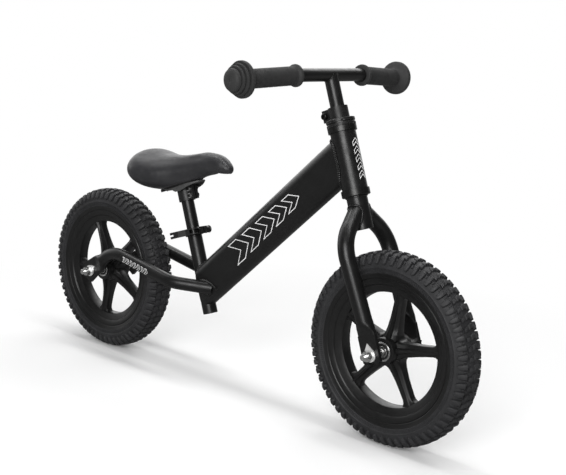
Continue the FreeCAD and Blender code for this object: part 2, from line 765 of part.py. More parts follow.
def make_grip(side_name):
    """A rubber grip: flange, hand part, and a safety end in shrinking steps."""
    side = SIDES[side_name]
    bore = "dims.bar_radius"
    hand = "dims.grip_radius"
    flange = "dims.grip_flange_radius"
    bell = "dims.grip_bell_radius"
    long_way = "dims.grip_length"
    outline = [(bore, 0), (f"{flange} - 1.5", 0), (flange, 1.5), (flange, 5),
               (hand, 9), (hand, f"{long_way} - 37"), (f"{bell} - 3", f"{long_way} - 31"),
               (bell, f"{long_way} - 27"), (bell, f"{long_way} - 21"),
               (f"{bell} - 3.5", f"{long_way} - 19"), (f"{bell} - 3.5", f"{long_way} - 15"),
               (f"{bell} - 7", f"{long_way} - 13"), (f"{bell} - 7", f"{long_way} - 9"),
               (f"{bell} - 11", f"{long_way} - 7"), (f"{bell} - 11", f"{long_way} - 3"),
               (f"{bell} - 14", long_way), (0, long_way), (0, f"{long_way} - 5"),
               (bore, f"{long_way} - 5")]
    start = bar_point(side, dim("grip_start"))
    turn = Rotation(Z_AXIS, bar_end_direction(side))
    placement = steering_frame().multiply(Placement(start, turn))
    return turned(f"grip_{side_name}", outline, placement)


# ---------------------------------------------------------------- seat clamp and saddle

def make_seat_clamp():
    low = "dims.seat_clamp_bottom"
    height = "dims.seat_clamp_height"
    middle = f"{low} + {height} / 2"
    screw_x = dim("lever_pivot_x")
    ear = 8
    size = {"bore": "dims.seat_tube_radius", "outside": "dims.seat_tube_radius + 3",
            "low": low, "height": height, "toward": 1, "reach": 26, "ear": ear,
            "slot": 1.2, "hole": "dims.skewer_radius + 0.1", "holes": [middle],
            "screw_x": screw_x}
    frame = seat_frame()
    collar = clamp_collar("seat_clamp_collar", size, frame)
    level = value_of(middle)
    pivot_y = dim("lever_pivot_y")
    nut_length = 10
    rod_start = Vector(screw_x, 3 - pivot_y, level)
    rod = solid_cylinder("skewer_rod", "dims.skewer_radius", ear + nut_length + pivot_y - 3,
                         rod_start, Rotation(X_AXIS, -90))
    eye_height = 5.3
    eye_base = Vector(screw_x, -pivot_y, level - eye_height / 2)
    eye = solid_cylinder("skewer_eye", 4.2, eye_height, eye_base)
    eye_hole = solid_cylinder("skewer_eye_hole", "dims.skewer_radius", eye_height + 2,
                              eye_base - Vector(0, 0, 1))
    skewer = minus("seat_clamp_skewer", joined("skewer_blank", [rod, eye]), eye_hole)
    skewer = named(skewer, "seat_clamp_skewer", frame)
    nut_outline = [("dims.skewer_radius", 0), (6.5, 0), (6.5, 3), (5.6, 5), (5.6, 8),
                   (6.5, 9), (6.5, nut_length), ("dims.skewer_radius", nut_length)]
    nut_place = frame.multiply(point_along_y(Vector(screw_x, ear, level), 1))
    nut = turned("seat_clamp_nut", nut_outline, nut_place)
    washer_place = frame.multiply(point_along_y(Vector(screw_x, -ear, level), -1))
    washer = ring("seat_clamp_washer", "dims.skewer_radius", 6.5, 0,
                  f"dims.lever_pivot_y - dims.lever_head_radius - {ear} - 0.3", washer_place)
    return [collar, skewer, nut, washer, make_lever(level)]


def make_lever(level):
    """Cam lever: two cheeks on a pin through the skewer's eye, and a curved arm."""
    head = "dims.lever_head_radius"
    reach = "dims.lever_length"
    body = new_body("lever_arm")
    sketch = new_sketch(body, "lever_outline", "XY_Plane", "-dims.lever_height / 2")
    draw_outline(sketch, [(0, f"-{head} + 1"), (12, -5), (28, -5.5), (f"{reach} - 3", -9),
                          (reach, -11.5), (f"{reach} + 1.5", -8.5), (f"{reach} - 4", -4.5),
                          (28, -1), (14, 1), (0, f"{head} - 1")])
    pad = body.newObject("PartDesign::Pad", "lever_pad")
    pad.Profile = sketch
    bind(pad, Length="dims.lever_height")
    sketch.Visibility = False
    half = dim("lever_height") / 2
    cam = solid_cylinder("lever_cam", head, "dims.lever_height", Vector(0, 0, -half))
    eye_room = 2.95
    gap = solid_cylinder("lever_gap", f"{head} + 0.8", 2 * eye_room, Vector(0, 0, -eye_room))
    notch = solid_box("lever_notch", 10, 30, 3, ("dims.lever_length - 5", -20, -1.5))
    cheeks = minus("lever_cheeks", joined("lever_blank", [body, cam]),
                   joined("lever_cutters", [gap, notch]))
    pin = solid_cylinder("lever_pin", "dims.pivot_pin_radius", "dims.lever_height",
                         Vector(0, 0, -half))
    pivot = Vector(dim("lever_pivot_x"), -dim("lever_pivot_y"), level)
    turn = Rotation(Z_AXIS, dim("lever_rest_angle"))
    placement = seat_frame().multiply(Placement(pivot, turn))
    return named(joined("seat_clamp_lever", [cheeks, pin]), "seat_clamp_lever", placement)


def make_seat_post():
    return ring("seat_post", "dims.stem_radius - dims.tube_wall", "dims.stem_radius",
                "dims.seat_post_bottom", "dims.seat_post_top", seat_frame())


def make_saddle_clamp():
    low = "dims.saddle_sleeve_bottom"
    heights = [f"{low} + 6.5", f"{low} + 18.5"]
    screw_x = 18
    ear = 6.5
    size = {"bore": "dims.stem_radius", "outside": "dims.stem_radius + 3.4", "low": low,
            "height": "dims.saddle_sleeve_height", "toward": 1, "reach": 24, "ear": ear,
            "slot": 1.2, "hole": 2.6, "holes": heights, "screw_x": screw_x}
    frame = seat_frame()
    sleeve = clamp_collar("saddle_clamp_sleeve", size, frame)
    screws = []
    nuts = []
    for index, height in enumerate(heights):
        level = value_of(height)
        head_side = Vector(screw_x, ear, level)
        screws.append(cap_screw(f"saddle_screw{index}", 2.5, 2 * ear + 6, 4.4, 4,
                                point_along_y(head_side, -1)))
        nut_side = Vector(screw_x, -ear, level)
        nuts.append(hex_nut(f"saddle_nut{index}", 8, 4.2, 2.5, point_along_y(nut_side, -1)))
    screw_group = named(grouped("saddle_clamp_screws", screws), "saddle_clamp_screws", frame)
    nut_group = named(grouped("saddle_clamp_nuts", nuts), "saddle_clamp_nuts", frame)
    return [sleeve, screw_group, nut_group]


def make_saddle_plate():
    body = new_body("saddle_plate")
    top = "dims.seat_post_top"
    sketch = new_sketch(body, "saddle_plate_outline", "XY_Plane", top)
    draw_outline(sketch, [(-38, -10), (-28, -20), (26, -20), (46, -8), (46, 8), (26, 20),
                          (-28, 20), (-38, 10)])
    pad = body.newObject("PartDesign::Pad", "saddle_plate_pad")
    pad.Profile = sketch
    bind(pad, Length="dims.saddle_plate_thickness")
    sketch.Visibility = False
    for side_name, side in SIDES.items():
        rim = new_sketch(body, f"saddle_plate_flange_{side_name}", "XY_Plane",
                         "dims.seat_post_top - dims.saddle_flange_depth")
        edge = 20 * side
        inner = 18 * side
        corners = [(-8, edge), (-8, inner), (26, inner), (26, edge)]
        draw_outline(rim, corners if side > 0 else corners[::-1])
        flange = body.newObject("PartDesign::Pad", f"saddle_plate_flange_pad_{side_name}")
        flange.Profile = rim
        bind(flange, Length="dims.saddle_flange_depth")
        rim.Visibility = False
    body.Placement = seat_frame()
    return body


# saddle cross sections: ahead of the post, half width, middle height above the plate's
# top, half height
SADDLE_SECTIONS = [(-106, 23, 53, 12), (-94, 45, 50, 27), (-64, 64, 44.5, 37), (-24, 59, 29.5, 30.5),
                   (14, 41, 23, 25), (52, 27, 23.5, 18.3), (88, 21.5, 20.2, 16.8),
                   (110, 16, 12, 15.5), (121, 10, 3.5, 9.5)]


def make_saddle():
    """One lofted outer form: its lowest slice behind the nose is the base, the rest padding."""
    floor = dim("seat_post_top") + dim("saddle_plate_thickness")
    upright = Rotation(Vector(1, 1, 1), 120)
    sections = []
    for index, (ahead, half_width, middle, half_height) in enumerate(SADDLE_SECTIONS):
        section = document.addObject("Part::Ellipse", f"saddle_section{index}")
        section.MajorRadius = half_width
        section.MinorRadius = half_height
        section.Placement = Placement(Vector(ahead, 0, floor + middle), upright)
        sections.append(section)
    form = document.addObject("Part::Loft", "saddle_form")
    form.Sections = sections
    form.Solid = True
    base_top = floor + dim("saddle_base_thickness")
    base_length = 200 + dim("saddle_base_front")
    low_slab = Part.makeBox(base_length, 300, 60, Vector(-200, -150, base_top - 60))
    base_slab = Part.makeBox(base_length, 300, dim("saddle_base_thickness"),
                             Vector(-200, -150, floor))
    below = document.addObject("Part::Feature", "below_padding")
    below.Shape = low_slab
    slab = document.addObject("Part::Feature", "base_slab")
    slab.Shape = base_slab
    cushion = named(minus("saddle_cushion", form, below), "saddle_cushion", seat_frame())
    base = document.addObject("Part::Common", "saddle_base")
    base.Base = form
    base.Tool = slab
    return [cushion, named(base, "saddle_base", seat_frame())]


# ---------------------------------------------------------------- wheels

def make_rim(name, end, first_spoke):
    """Moulded wheel: hub with bearing pockets, five spokes and a channelled rim."""
    body = new_body(name + "_rim")
    pocket = "dims.hub_half_width + dims.bearing_proud - dims.bearing_width"
    hub = new_sketch(body, name + "_hub_profile", "XZ_Plane")
    clear = "dims.bearing_bore + 1.5"
    seat = "dims.bearing_radius"
    outside = "dims.hub_radius"
    half = "dims.hub_half_width"
    draw_outline(hub, [(clear, f"-({pocket})"), (seat, f"-({pocket})"), (seat, f"-{half}"),
                       (f"{outside} - 2", f"-{half}"), (outside, f"-{half} + 2"),
                       (outside, f"{half} - 2"), (f"{outside} - 2", half), (seat, half),
                       (seat, pocket), (clear, pocket)])
    hub_turn = body.newObject("PartDesign::Revolution", name + "_hub")
    hub_turn.Profile = hub
    hub_turn.ReferenceAxis = (hub, ["V_Axis"])
    hub_turn.Angle = 360

    spoke = new_sketch(body, name + "_spoke_outline", "XY_Plane", "-dims.spoke_half_depth")
    inner = "dims.hub_radius - 3"
    outer = "dims.rim_inner_radius + dims.rim_wall / 2"
    draw_outline(spoke, [(inner, "-dims.spoke_root"), (outer, "-dims.spoke_tip"),
                         (outer, "dims.spoke_tip"), (inner, "dims.spoke_root")])
    spoke_pad = body.newObject("PartDesign::Pad", name + "_spoke")
    spoke_pad.Profile = spoke
    bind(spoke_pad, Length="2 * dims.spoke_half_depth")
    document.recompute()

    pattern = body.newObject("PartDesign::PolarPattern", name + "_spokes")
    pattern.Originals = [spoke_pad]
    pattern.Axis = (hub, ["V_Axis"])
    pattern.Angle = 360
    pattern.Occurrences = 5
    body.Tip = pattern

    channel = new_sketch(body, name + "_rim_profile", "XZ_Plane")
    bead = "dims.bead_radius"
    edge = "dims.rim_half_width"
    low = "dims.rim_inner_radius"
    wall = "dims.rim_wall"
    lower_half = [(low, f"-{edge} + 10"), (f"{low} + 12", f"-{edge} + 4"),
                  (f"{bead} - 3.5", f"-{edge}"), (bead, f"-{edge}"),
                  (bead, f"-{edge} + {wall} - 0.5"), (f"{bead} - 4.5", f"-{edge} + {wall}"),
                  (f"{low} + 13", f"-{edge} + 4 + {wall}"),
                  (f"{low} + {wall}", f"-{edge} + 9 + {wall}")]
    upper_half = [(radius, f"-({height})") for radius, height in reversed(lower_half)]
    draw_outline(channel, lower_half + upper_half)
    rim_turn = body.newObject("PartDesign::Revolution", name + "_channel")
    rim_turn.Profile = channel
    rim_turn.ReferenceAxis = (channel, ["V_Axis"])
    rim_turn.Angle = 360
    for sketch in (hub, spoke, channel):
        sketch.Visibility = False
    spin = Placement(Vector(), Rotation(Z_AXIS, -dim(first_spoke)))
    body.Placement = axle_frame(end).multiply(spin)
    return body


def make_tyre(name, end):
    """Solid foam tyre with a tongue that fills the rim's channel."""
    bead = "dims.bead_radius"
    half = "dims.tyre_half_width"
    outside = "dims.wheel_radius"
    tongue = 13
    lower_half = [(f"{bead} - 7", 1 - tongue), (bead, -tongue), (bead, f"2 - {half}"),
                  (f"{bead} + 7", f"-{half}"), (f"{outside} - 12", f"-{half}"),
                  (f"{outside} - 5", f"4 - {half}"), (f"{outside} - 1", f"10 - {half}"),
                  (outside, f"16 - {half}")]
    upper_half = [(radius, f"-({height})") for radius, height in reversed(lower_half)]
    return turned(f"{name}_tyre", lower_half + upper_half, axle_frame(end))


def make_bearing(name, end, side_name):
    side = SIDES[side_name]
    high = "dims.hub_half_width + dims.bearing_proud"
    low = f"{high} - dims.bearing_width"
    heights = (low, high) if side > 0 else (f"-({high})", f"-({low})")
    return ring(f"{name}_bearing_{side_name}", "dims.bearing_bore", "dims.bearing_radius",
                heights[0], heights[1], axle_frame(end))


def make_axle(name, end):
    """A threaded axle; a groove outside each nut leaves a plain stub at the end."""
    half = "dims.axle_half_length"
    radius = "dims.axle_radius"
    nut_face = "(dims.dropout_gap + dims.dropout_thickness + dims.tab_washer_thickness"
    nut_face += " + dims.axle_nut_height)"
    groove_end = f"({nut_face} + dims.axle_groove)"
    root = f"{radius} - 0.6"
    left_half = [(radius, nut_face), (root, nut_face), (root, groove_end), (radius, groove_end),
                 (radius, f"{half} - 0.8"), (f"{radius} - 0.8", half), (0, half)]
    right_half = [(across, f"-({height})") for across, height in reversed(left_half)]
    return turned(f"{name}_axle", right_half + left_half, axle_frame(end))


def make_spacer(name, end, side_name):
    """The cone: a nose inside the bearing and a collar out to the dropout."""
    bore = "dims.axle_radius + 0.05"
    nose = "dims.bearing_bore - 0.05"
    inner_end = "dims.hub_half_width + dims.bearing_proud - dims.bearing_width"
    shoulder = "dims.hub_half_width + dims.bearing_proud + 0.3"
    outer_end = "dims.dropout_gap"
    collar = "dims.spacer_radius"
    outline = [(bore, inner_end), (nose, inner_end), (nose, shoulder), (collar, shoulder),
               (collar, outer_end), (bore, outer_end)]
    flip = Rotation() if SIDES[side_name] > 0 else Rotation(X_AXIS, 180)
    placement = axle_frame(end).multiply(Placement(Vector(), flip))
    return turned(f"{name}_axle_spacer_{side_name}", outline, placement)


def make_tab_washers(name, end, tab_angle):
    """A pair of teardrop washers, each pointing up the blade it sits on."""
    low = dim("dropout_gap") + dim("dropout_thickness")
    radius = dim("tab_washer_radius")
    reach = dim("tab_reach")
    pieces = []
    for side_name, side in SIDES.items():
        start = low if side > 0 else -low - dim("tab_washer_thickness")
        touch = math.acos(radius / reach)
        flank = Vector(radius * math.cos(touch), radius * math.sin(touch), start)
        tip = Vector(reach, 0, start)
        wedge_corners = [Vector(0, 0, start), flank, tip, Vector(flank.x, -flank.y, start)]
        wedge_face = Part.Face(Part.makePolygon(wedge_corners + wedge_corners[:1]))
        wedge = wedge_face.extrude(Z_AXIS * dim("tab_washer_thickness"))
        disc = Part.makeCylinder(radius, dim("tab_washer_thickness"), Vector(0, 0, start))
        hole = Part.makeCylinder(dim("axle_radius") + 0.05, dim("tab_washer_thickness"),
                                 Vector(0, 0, start))
        shape = disc.fuse(wedge).cut(hole)
        pieces.append(fixed_shape(f"{name}_washer_{side_name}", shape))
    placement = axle_frame(end).multiply(Placement(Vector(), Rotation(Z_AXIS, -tab_angle)))
    group = grouped(f"{name}_tab_washers", pieces)
    return named(group, f"{name}_tab_washers", placement)


def make_axle_nuts(name, end):
    start = dim("dropout_gap") + dim("dropout_thickness") + dim("tab_washer_thickness")
    pieces = []
    for side_name, side in SIDES.items():
        flip = Rotation() if side > 0 else Rotation(X_AXIS, 180)
        placement = Placement(Vector(0, 0, side * start), flip)
        pieces.append(hex_nut(f"{name}_nut_{side_name}", "dims.axle_nut_flats",
                              "dims.axle_nut_height", "dims.axle_radius + 0.05", placement))
    group = grouped(f"{name}_axle_nuts", pieces)
    return named(group, f"{name}_axle_nuts", axle_frame(end))


def make_wheel(name, end, first_spoke, tab_angle):
    pieces = [make_rim(name, end, first_spoke), make_tyre(name, end), make_axle(name, end)]
    for side_name in SIDES:
        pieces.append(make_bearing(name, end, side_name))
        pieces.append(make_spacer(name, end, side_name))
    pieces.append(make_tab_washers(name, end, tab_angle))
    pieces.append(make_axle_nuts(name, end))
    return pieces


# ---------------------------------------------------------------- the whole bike

def make_all():
    down_tube, down_tube_blank = make_down_tube()
    pieces = [make_head_tube(), down_tube, make_seat_tube(), make_seat_tube_plug()]
    pieces += [make_chainstay(side_name, down_tube_blank) for side_name in SIDES]
    pieces += [make_lower_cup(), make_upper_cup(), make_crown_race(), make_cone(),
               make_keyed_washer(), make_locknut()]
    lower_middle = f"{RACE_TOP} + {BALL_SPACE} / 2"
    upper_middle = f"{CUP_FLOOR} + {BALL_SPACE} / 2"
    pieces += [make_ball_ring("headset_lower_balls", lower_middle),
               make_ball_ring("headset_upper_balls", upper_middle)]
    pieces += [make_steerer(), make_crown_sleeve()]
    pieces += make_fork_legs()
    pieces += make_steerer_clamp()
    pieces += [make_stem_post(), make_handlebar()]
    pieces += [make_grip(side_name) for side_name in SIDES]
    pieces += make_seat_clamp()
    pieces += [make_seat_post(), make_saddle_plate()]
    pieces += make_saddle_clamp()
    pieces += make_saddle()
    rear_tab_angle = 40
    front_tab_angle = 90 + dim("head_tilt")
    pieces += make_wheel("rear", -1, "rear_spoke_angle", rear_tab_angle)
    pieces += make_wheel("front", 1, "front_spoke_angle", front_tab_angle)
    return pieces


def check(pieces):
    """Stop before writing anything if an object failed or a piece isn't a good solid."""
    for item in document.Objects:
        if "Invalid" in item.State or "Error" in item.State:
            raise RuntimeError(f"{item.Name} failed: {item.State}")
    for piece in pieces:
        shape = piece.Shape
        if shape.isNull() or not shape.isValid() or not shape.Solids:
            raise RuntimeError(f"{piece.Label} has no valid solid")
    labels = [piece.Label for piece in pieces]
    if len(set(labels)) != len(labels):
        raise RuntimeError("two pieces share a name")


def write(pieces):
    os.makedirs("parts", exist_ok=True)
    for piece in pieces:
        piece.Shape.exportStep(f"parts/{piece.Label}.step")


fill_sheet()
all_pieces = make_all()
document.recompute()
check(all_pieces)
write(all_pieces)
for item in all_pieces:
    print(item.Label, len(item.Shape.Solids), round(item.Shape.Volume))
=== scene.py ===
"""Looks of the balance bike: satin black frame, foam tyres, five-spoke wheels, padded saddle."""
import json
import math

import bmesh
import bpy
from mathutils import Matrix, Vector
from mathutils.bvhtree import BVHTree


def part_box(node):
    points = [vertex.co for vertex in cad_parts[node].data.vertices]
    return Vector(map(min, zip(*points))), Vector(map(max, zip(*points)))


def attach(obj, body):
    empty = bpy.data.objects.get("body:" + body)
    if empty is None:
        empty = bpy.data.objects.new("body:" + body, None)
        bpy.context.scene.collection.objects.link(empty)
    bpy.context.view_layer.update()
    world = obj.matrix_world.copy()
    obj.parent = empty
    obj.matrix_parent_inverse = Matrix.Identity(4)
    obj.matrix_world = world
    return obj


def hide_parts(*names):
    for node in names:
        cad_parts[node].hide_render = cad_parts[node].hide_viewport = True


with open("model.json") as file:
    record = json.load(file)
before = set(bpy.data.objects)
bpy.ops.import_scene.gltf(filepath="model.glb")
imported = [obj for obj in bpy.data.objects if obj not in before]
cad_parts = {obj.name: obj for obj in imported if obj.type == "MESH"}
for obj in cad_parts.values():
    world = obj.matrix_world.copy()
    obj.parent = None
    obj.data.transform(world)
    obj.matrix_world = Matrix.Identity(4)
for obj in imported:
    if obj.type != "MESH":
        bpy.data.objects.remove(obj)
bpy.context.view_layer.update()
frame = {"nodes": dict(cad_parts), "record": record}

RECORD = frame["record"]
JOINTS = {joint["name"]: joint for joint in RECORD["behaviour"]["joints"]}
NODE_SLOTS = {part["node"]: part["material_slot"] for part in RECORD["subparts"]}
SIDES = {"right": -1, "left": 1}
TURN = 2 * math.pi
ACROSS = Vector((0, 1, 0))


# ---------------------------------------------------------------- where things are

def middle(node):
    low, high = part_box(node)
    return (Vector(low) + Vector(high)) / 2


def placed(origin, up, ahead=Vector((1, 0, 0))):
    """A matrix from millimetres in a tilted frame to the row frame."""
    up = up.normalized()
    side = up.cross(ahead).normalized()
    front = side.cross(up)
    turn = Matrix((front, side, up)).transposed().to_4x4()
    return Matrix.Translation(origin) @ turn @ Matrix.Scale(0.001, 4)


FRONT_AXLE = middle("front_axle")
REAR_AXLE = middle("rear_axle")
STEER_AXIS = Vector(JOINTS["steering"]["axis"])
STEER_POINT = Vector(JOINTS["steering"]["pos_m"])
STEER_FOOT = STEER_POINT + STEER_AXIS * (FRONT_AXLE - STEER_POINT).dot(STEER_AXIS)
SEAT_AXIS = Vector(JOINTS["seat_height"]["axis"])
# middle of the seat post above the foot of the seat tube, millimetres
POST_MIDDLE = 145.5
SEAT_FOOT = middle("seat_post") - SEAT_AXIS * POST_MIDDLE / 1000
STEERING = placed(STEER_FOOT, STEER_AXIS)
SEAT = placed(SEAT_FOOT, SEAT_AXIS)
WHEELS = {"front": placed(FRONT_AXLE, ACROSS), "rear": placed(REAR_AXLE, ACROSS)}
ROW = Matrix.Scale(0.001, 4)


# ---------------------------------------------------------------- mesh building

class Shape:
    """Points and faces gathered for one mesh, in millimetres."""

    def __init__(self):
        self.points = []
        self.faces = []

    def skin(self, rings, closed=False, caps=True):
        """Joins equal rings of points, one after the other."""
        start = len(self.points)
        count = len(rings[0])
        for ring in rings:
            self.points += [tuple(point) for point in ring]
        spans = len(rings) if closed else len(rings) - 1
        for row in range(spans):
            low = start + row * count
            high = start + (row + 1) % len(rings) * count
            for step in range(count):
                after = (step + 1) % count
                self.faces.append((low + step, low + after, high + after, high + step))
        if caps and not closed:
            last = start + (len(rings) - 1) * count
            self.faces.append(tuple(start + step for step in reversed(range(count))))
            self.faces.append(tuple(last + step for step in range(count)))

    def lathe(self, profile, segments):
        """Turns a closed loop of (radius, height) about z."""
        rings = []
        for index in range(segments):
            angle = TURN * index / segments
            rings.append([(radius * math.cos(angle), radius * math.sin(angle), height)
                          for radius, height in profile])
        self.skin(rings, closed=True)


def piece(name, shape, placement, material, body, smooth=35, replaces=()):
    """Makes a mesh from a shape, puts it in the row frame and lets it ride on a body."""
    mesh = bpy.data.meshes.new(name)
    mesh.from_pydata([placement @ Vector(point) for point in shape.points], [], shape.faces)
    work = bmesh.new()
    work.from_mesh(mesh)
    bmesh.ops.recalc_face_normals(work, faces=work.faces)
    work.to_mesh(mesh)
    work.free()
    mesh.materials.append(material)
    item = bpy.data.objects.new(name, mesh)
    bpy.context.scene.collection.objects.link(item)
    shade(item, smooth)
    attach(item, body)
    if replaces:
        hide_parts(*replaces)
    return item


def shade(item, angle):
    """Smooth shading, with sharp edges where faces meet at more than angle degrees."""
    mesh = item.data
    mesh.polygons.foreach_set("use_smooth", [True] * len(mesh.polygons))
    mesh.set_sharp_from_angle(angle=math.radians(angle))


def circle_points(radius, count, height=0.0):
    return [Vector((radius * math.cos(TURN * step / count), radius * math.sin(TURN * step / count),
                    height)) for step in range(count)]


def mirrored(profile):
    """A profile of (radius, height) from the outside in, with its mirror image below."""
    return profile + [(radius, -height) for radius, height in reversed(profile)]


def eased(value):
    value = min(max(value, 0.0), 1.0)
    return value * value * (3 - 2 * value)


def between(pairs, at):
    """Straight interpolation in a list of (position, value)."""
    if at <= pairs[0][0]:
        return pairs[0][1]
    for (low, first), (high, second) in zip(pairs, pairs[1:]):
        if at <= high:
            return first + (second - first) * (at - low) / (high - low)
    return pairs[-1][1]


# ---------------------------------------------------------------- materials

def new_material(name, colour, roughness, metallic=0.0, specular=0.5):
    material = bpy.data.materials.new(name)
    material.use_nodes = True
    tree = material.node_tree
    shader = tree.nodes["Principled BSDF"]
    shader.inputs["Base Color"].default_value = (*colour, 1)
    shader.inputs["Roughness"].default_value = roughness
    shader.inputs["Metallic"].default_value = metallic
    shader.inputs["Specular IOR Level"].default_value = specular
    return material, tree, shader


def add_node(tree, kind, **inputs):
    node = tree.nodes.new(kind)
    for key, value in inputs.items():
        socket = node.inputs[key.replace("_", " ")]
        if isinstance(value, bpy.types.NodeSocket):
            tree.links.new(value, socket)
        else:
            socket.default_value = value
    return node


def place_of(tree):
    return tree.nodes.new("ShaderNodeTexCoord").outputs["Object"]


def grain(tree, size_mm, detail=3.0, roughness=0.55):
    """Noise whose blotches are about size_mm across."""
    node = add_node(tree, "ShaderNodeTexNoise", Vector=place_of(tree), Scale=1000.0 / size_mm,
                    Detail=detail, Roughness=roughness)
    return node.outputs["Fac"]


def ramp(tree, source, stops):
    """A colour ramp; stops are (position, colour), a colour being a grey or three numbers."""
    node = add_node(tree, "ShaderNodeValToRGB", Fac=source)
    elements = node.color_ramp.elements
    while len(elements) < len(stops):
        elements.new(0.5)
    for element, (position, colour) in zip(elements, stops):
        element.position = position
        element.color = (*colour, 1) if isinstance(colour, tuple) else (colour, colour, colour, 1)
    return node.outputs["Color"]


def spread(tree, source, low, high):
    """The source's 0.3 to 0.7 stretched from low to high."""
    node = add_node(tree, "ShaderNodeMapRange", Value=source)
    node.inputs["From Min"].default_value = 0.3
    node.inputs["From Max"].default_value = 0.7
    node.inputs["To Min"].default_value = low
    node.inputs["To Max"].default_value = high
    return node.outputs["Result"]


def add_bump(tree, shader, height, strength, distance_mm, under=None):
    node = add_node(tree, "ShaderNodeBump", Height=height, Strength=strength,
                    Distance=distance_mm / 1000)
    if under is not None:
        tree.links.new(under.outputs["Normal"], node.inputs["Normal"])
    tree.links.new(node.outputs["Normal"], shader.inputs["Normal"])
    return node


def wired(tree, source, shader, name):
    tree.links.new(source, shader.inputs[name])


def painted(name, grey, roughness, peel=0.25):
    """Powder coat: satin, with a fine orange peel and faint handling marks."""
    material, tree, shader = new_material(name, (grey, grey, grey * 1.03), roughness, specular=0.45)
    cloud = grain(tree, 45, 2)
    wired(tree, ramp(tree, cloud, [(0.35, (grey * 0.85,) * 3), (0.7, (grey * 1.25,) * 3)]),
          shader, "Base Color")
    wired(tree, spread(tree, grain(tree, 9, 4), roughness - 0.05, roughness + 0.07),
          shader, "Roughness")
    add_bump(tree, shader, grain(tree, 1.3, 2), peel, 0.12)
    return material


def foam_material():
    """Moulded foam rubber: matte, slightly dusty, with fine pores."""
    material, tree, shader = new_material("tyre_foam", (0.03,) * 3, 0.7, specular=0.4)
    dust = grain(tree, 30, 5, 0.65)
    wired(tree, ramp(tree, dust, [(0.3, (0.016, 0.016, 0.017)), (0.75, (0.027, 0.027, 0.029))]),
          shader, "Base Color")
    wired(tree, spread(tree, grain(tree, 5, 3), 0.48, 0.68), shader, "Roughness")
    pores = add_bump(tree, shader, grain(tree, 0.9, 3), 0.35, 0.2)
    add_bump(tree, shader, grain(tree, 6, 2), 0.15, 0.4, under=pores)
    return material


def moulded(name, grey, roughness, texture_mm=0.8, depth=0.25, specular=0.4):
    """Moulded plastic or rubber with a fine tool texture."""
    material, tree, shader = new_material(name, (grey,) * 3, roughness, specular=specular)
    flow = grain(tree, 25, 3)
    wired(tree, ramp(tree, flow, [(0.3, (grey * 0.85,) * 3), (0.75, (grey * 1.2,) * 3)]),
          shader, "Base Color")
    wired(tree, spread(tree, grain(tree, 7, 4), roughness - 0.06, roughness + 0.08),
          shader, "Roughness")
    add_bump(tree, shader, grain(tree, texture_mm, 2), depth, 0.1)
    return material


def vinyl_material():
    """Saddle cover: soft vinyl with a small pebble grain."""
    material, tree, shader = new_material("saddle_vinyl", (0.02,) * 3, 0.42, specular=0.5)
    pebbles = add_node(tree, "ShaderNodeTexVoronoi", Vector=place_of(tree), Scale=1000 / 1.4)
    pebbles.feature = "DISTANCE_TO_EDGE"
    tone = grain(tree, 40, 3)
    wired(tree, ramp(tree, tone, [(0.3, (0.016, 0.016, 0.018)), (0.75, (0.028, 0.028, 0.030))]),
          shader, "Base Color")
    wired(tree, spread(tree, grain(tree, 12, 4), 0.36, 0.5), shader, "Roughness")
    fine = add_bump(tree, shader, pebbles.outputs["Distance"], 0.2, 0.15)
    add_bump(tree, shader, grain(tree, 9, 2), 0.08, 0.4, under=fine)
    return material


def metal(name, grey, roughness, metallic=0.95, blotch=0.07):
    """Plated steel with slightly uneven roughness and fine scratches."""
    material, tree, shader = new_material(name, (grey,) * 3, roughness, metallic=metallic)
    wired(tree, ramp(tree, grain(tree, 3, 4), [(0.3, (grey * 0.82, grey * 0.82, grey * 0.80)),
                                               (0.7, (grey, grey, grey))]), shader, "Base Color")
    wired(tree, spread(tree, grain(tree, 1.5, 5), roughness - blotch, roughness + blotch),
          shader, "Roughness")
    add_bump(tree, shader, grain(tree, 0.5, 2), 0.15, 0.05)
    return material


PAINT = painted("frame_paint", 0.0055, 0.33)
CLAMP_PAINT = painted("clamp_paint", 0.008, 0.42)
WELD_PAINT = painted("weld_paint", 0.006, 0.28, peel=0.5)
FOAM = foam_material()
RIM = moulded("rim_plastic", 0.007, 0.36)
RUBBER = moulded("grip_rubber", 0.025, 0.62, 0.6, 0.3, 0.3)
VINYL = vinyl_material()
PLASTIC = moulded("black_plastic", 0.010, 0.45)
ZINC = metal("zinc_plate", 0.72, 0.22)
# tab washers: pale, half-metallic zinc, a painted reflection that keeps their faces white where
# plated metal would mirror the dim floor
WASHER_ZINC_PAINTED_REFLECTION = metal("zinc_washer_painted_reflection", 0.80, 0.34, metallic=0.45)
BLACK_STEEL = metal("black_oxide", 0.05, 0.35)
GREY_STEEL = painted("dull_plate", 0.05, 0.42)
DECAL = moulded("decal_white", 0.72, 0.45)

SLOT_MATERIALS = {
    "frame_paint": PAINT, "bar_steel": PAINT, "clamp_paint": CLAMP_PAINT, "bright_steel": ZINC,
    "plate_steel": GREY_STEEL, "dark_steel": BLACK_STEEL, "rim_plastic": RIM, "tyre_foam": FOAM,
    "grip_rubber": RUBBER, "saddle_cover": VINYL, "saddle_plastic": PLASTIC,
    "plug_plastic": PLASTIC,
}


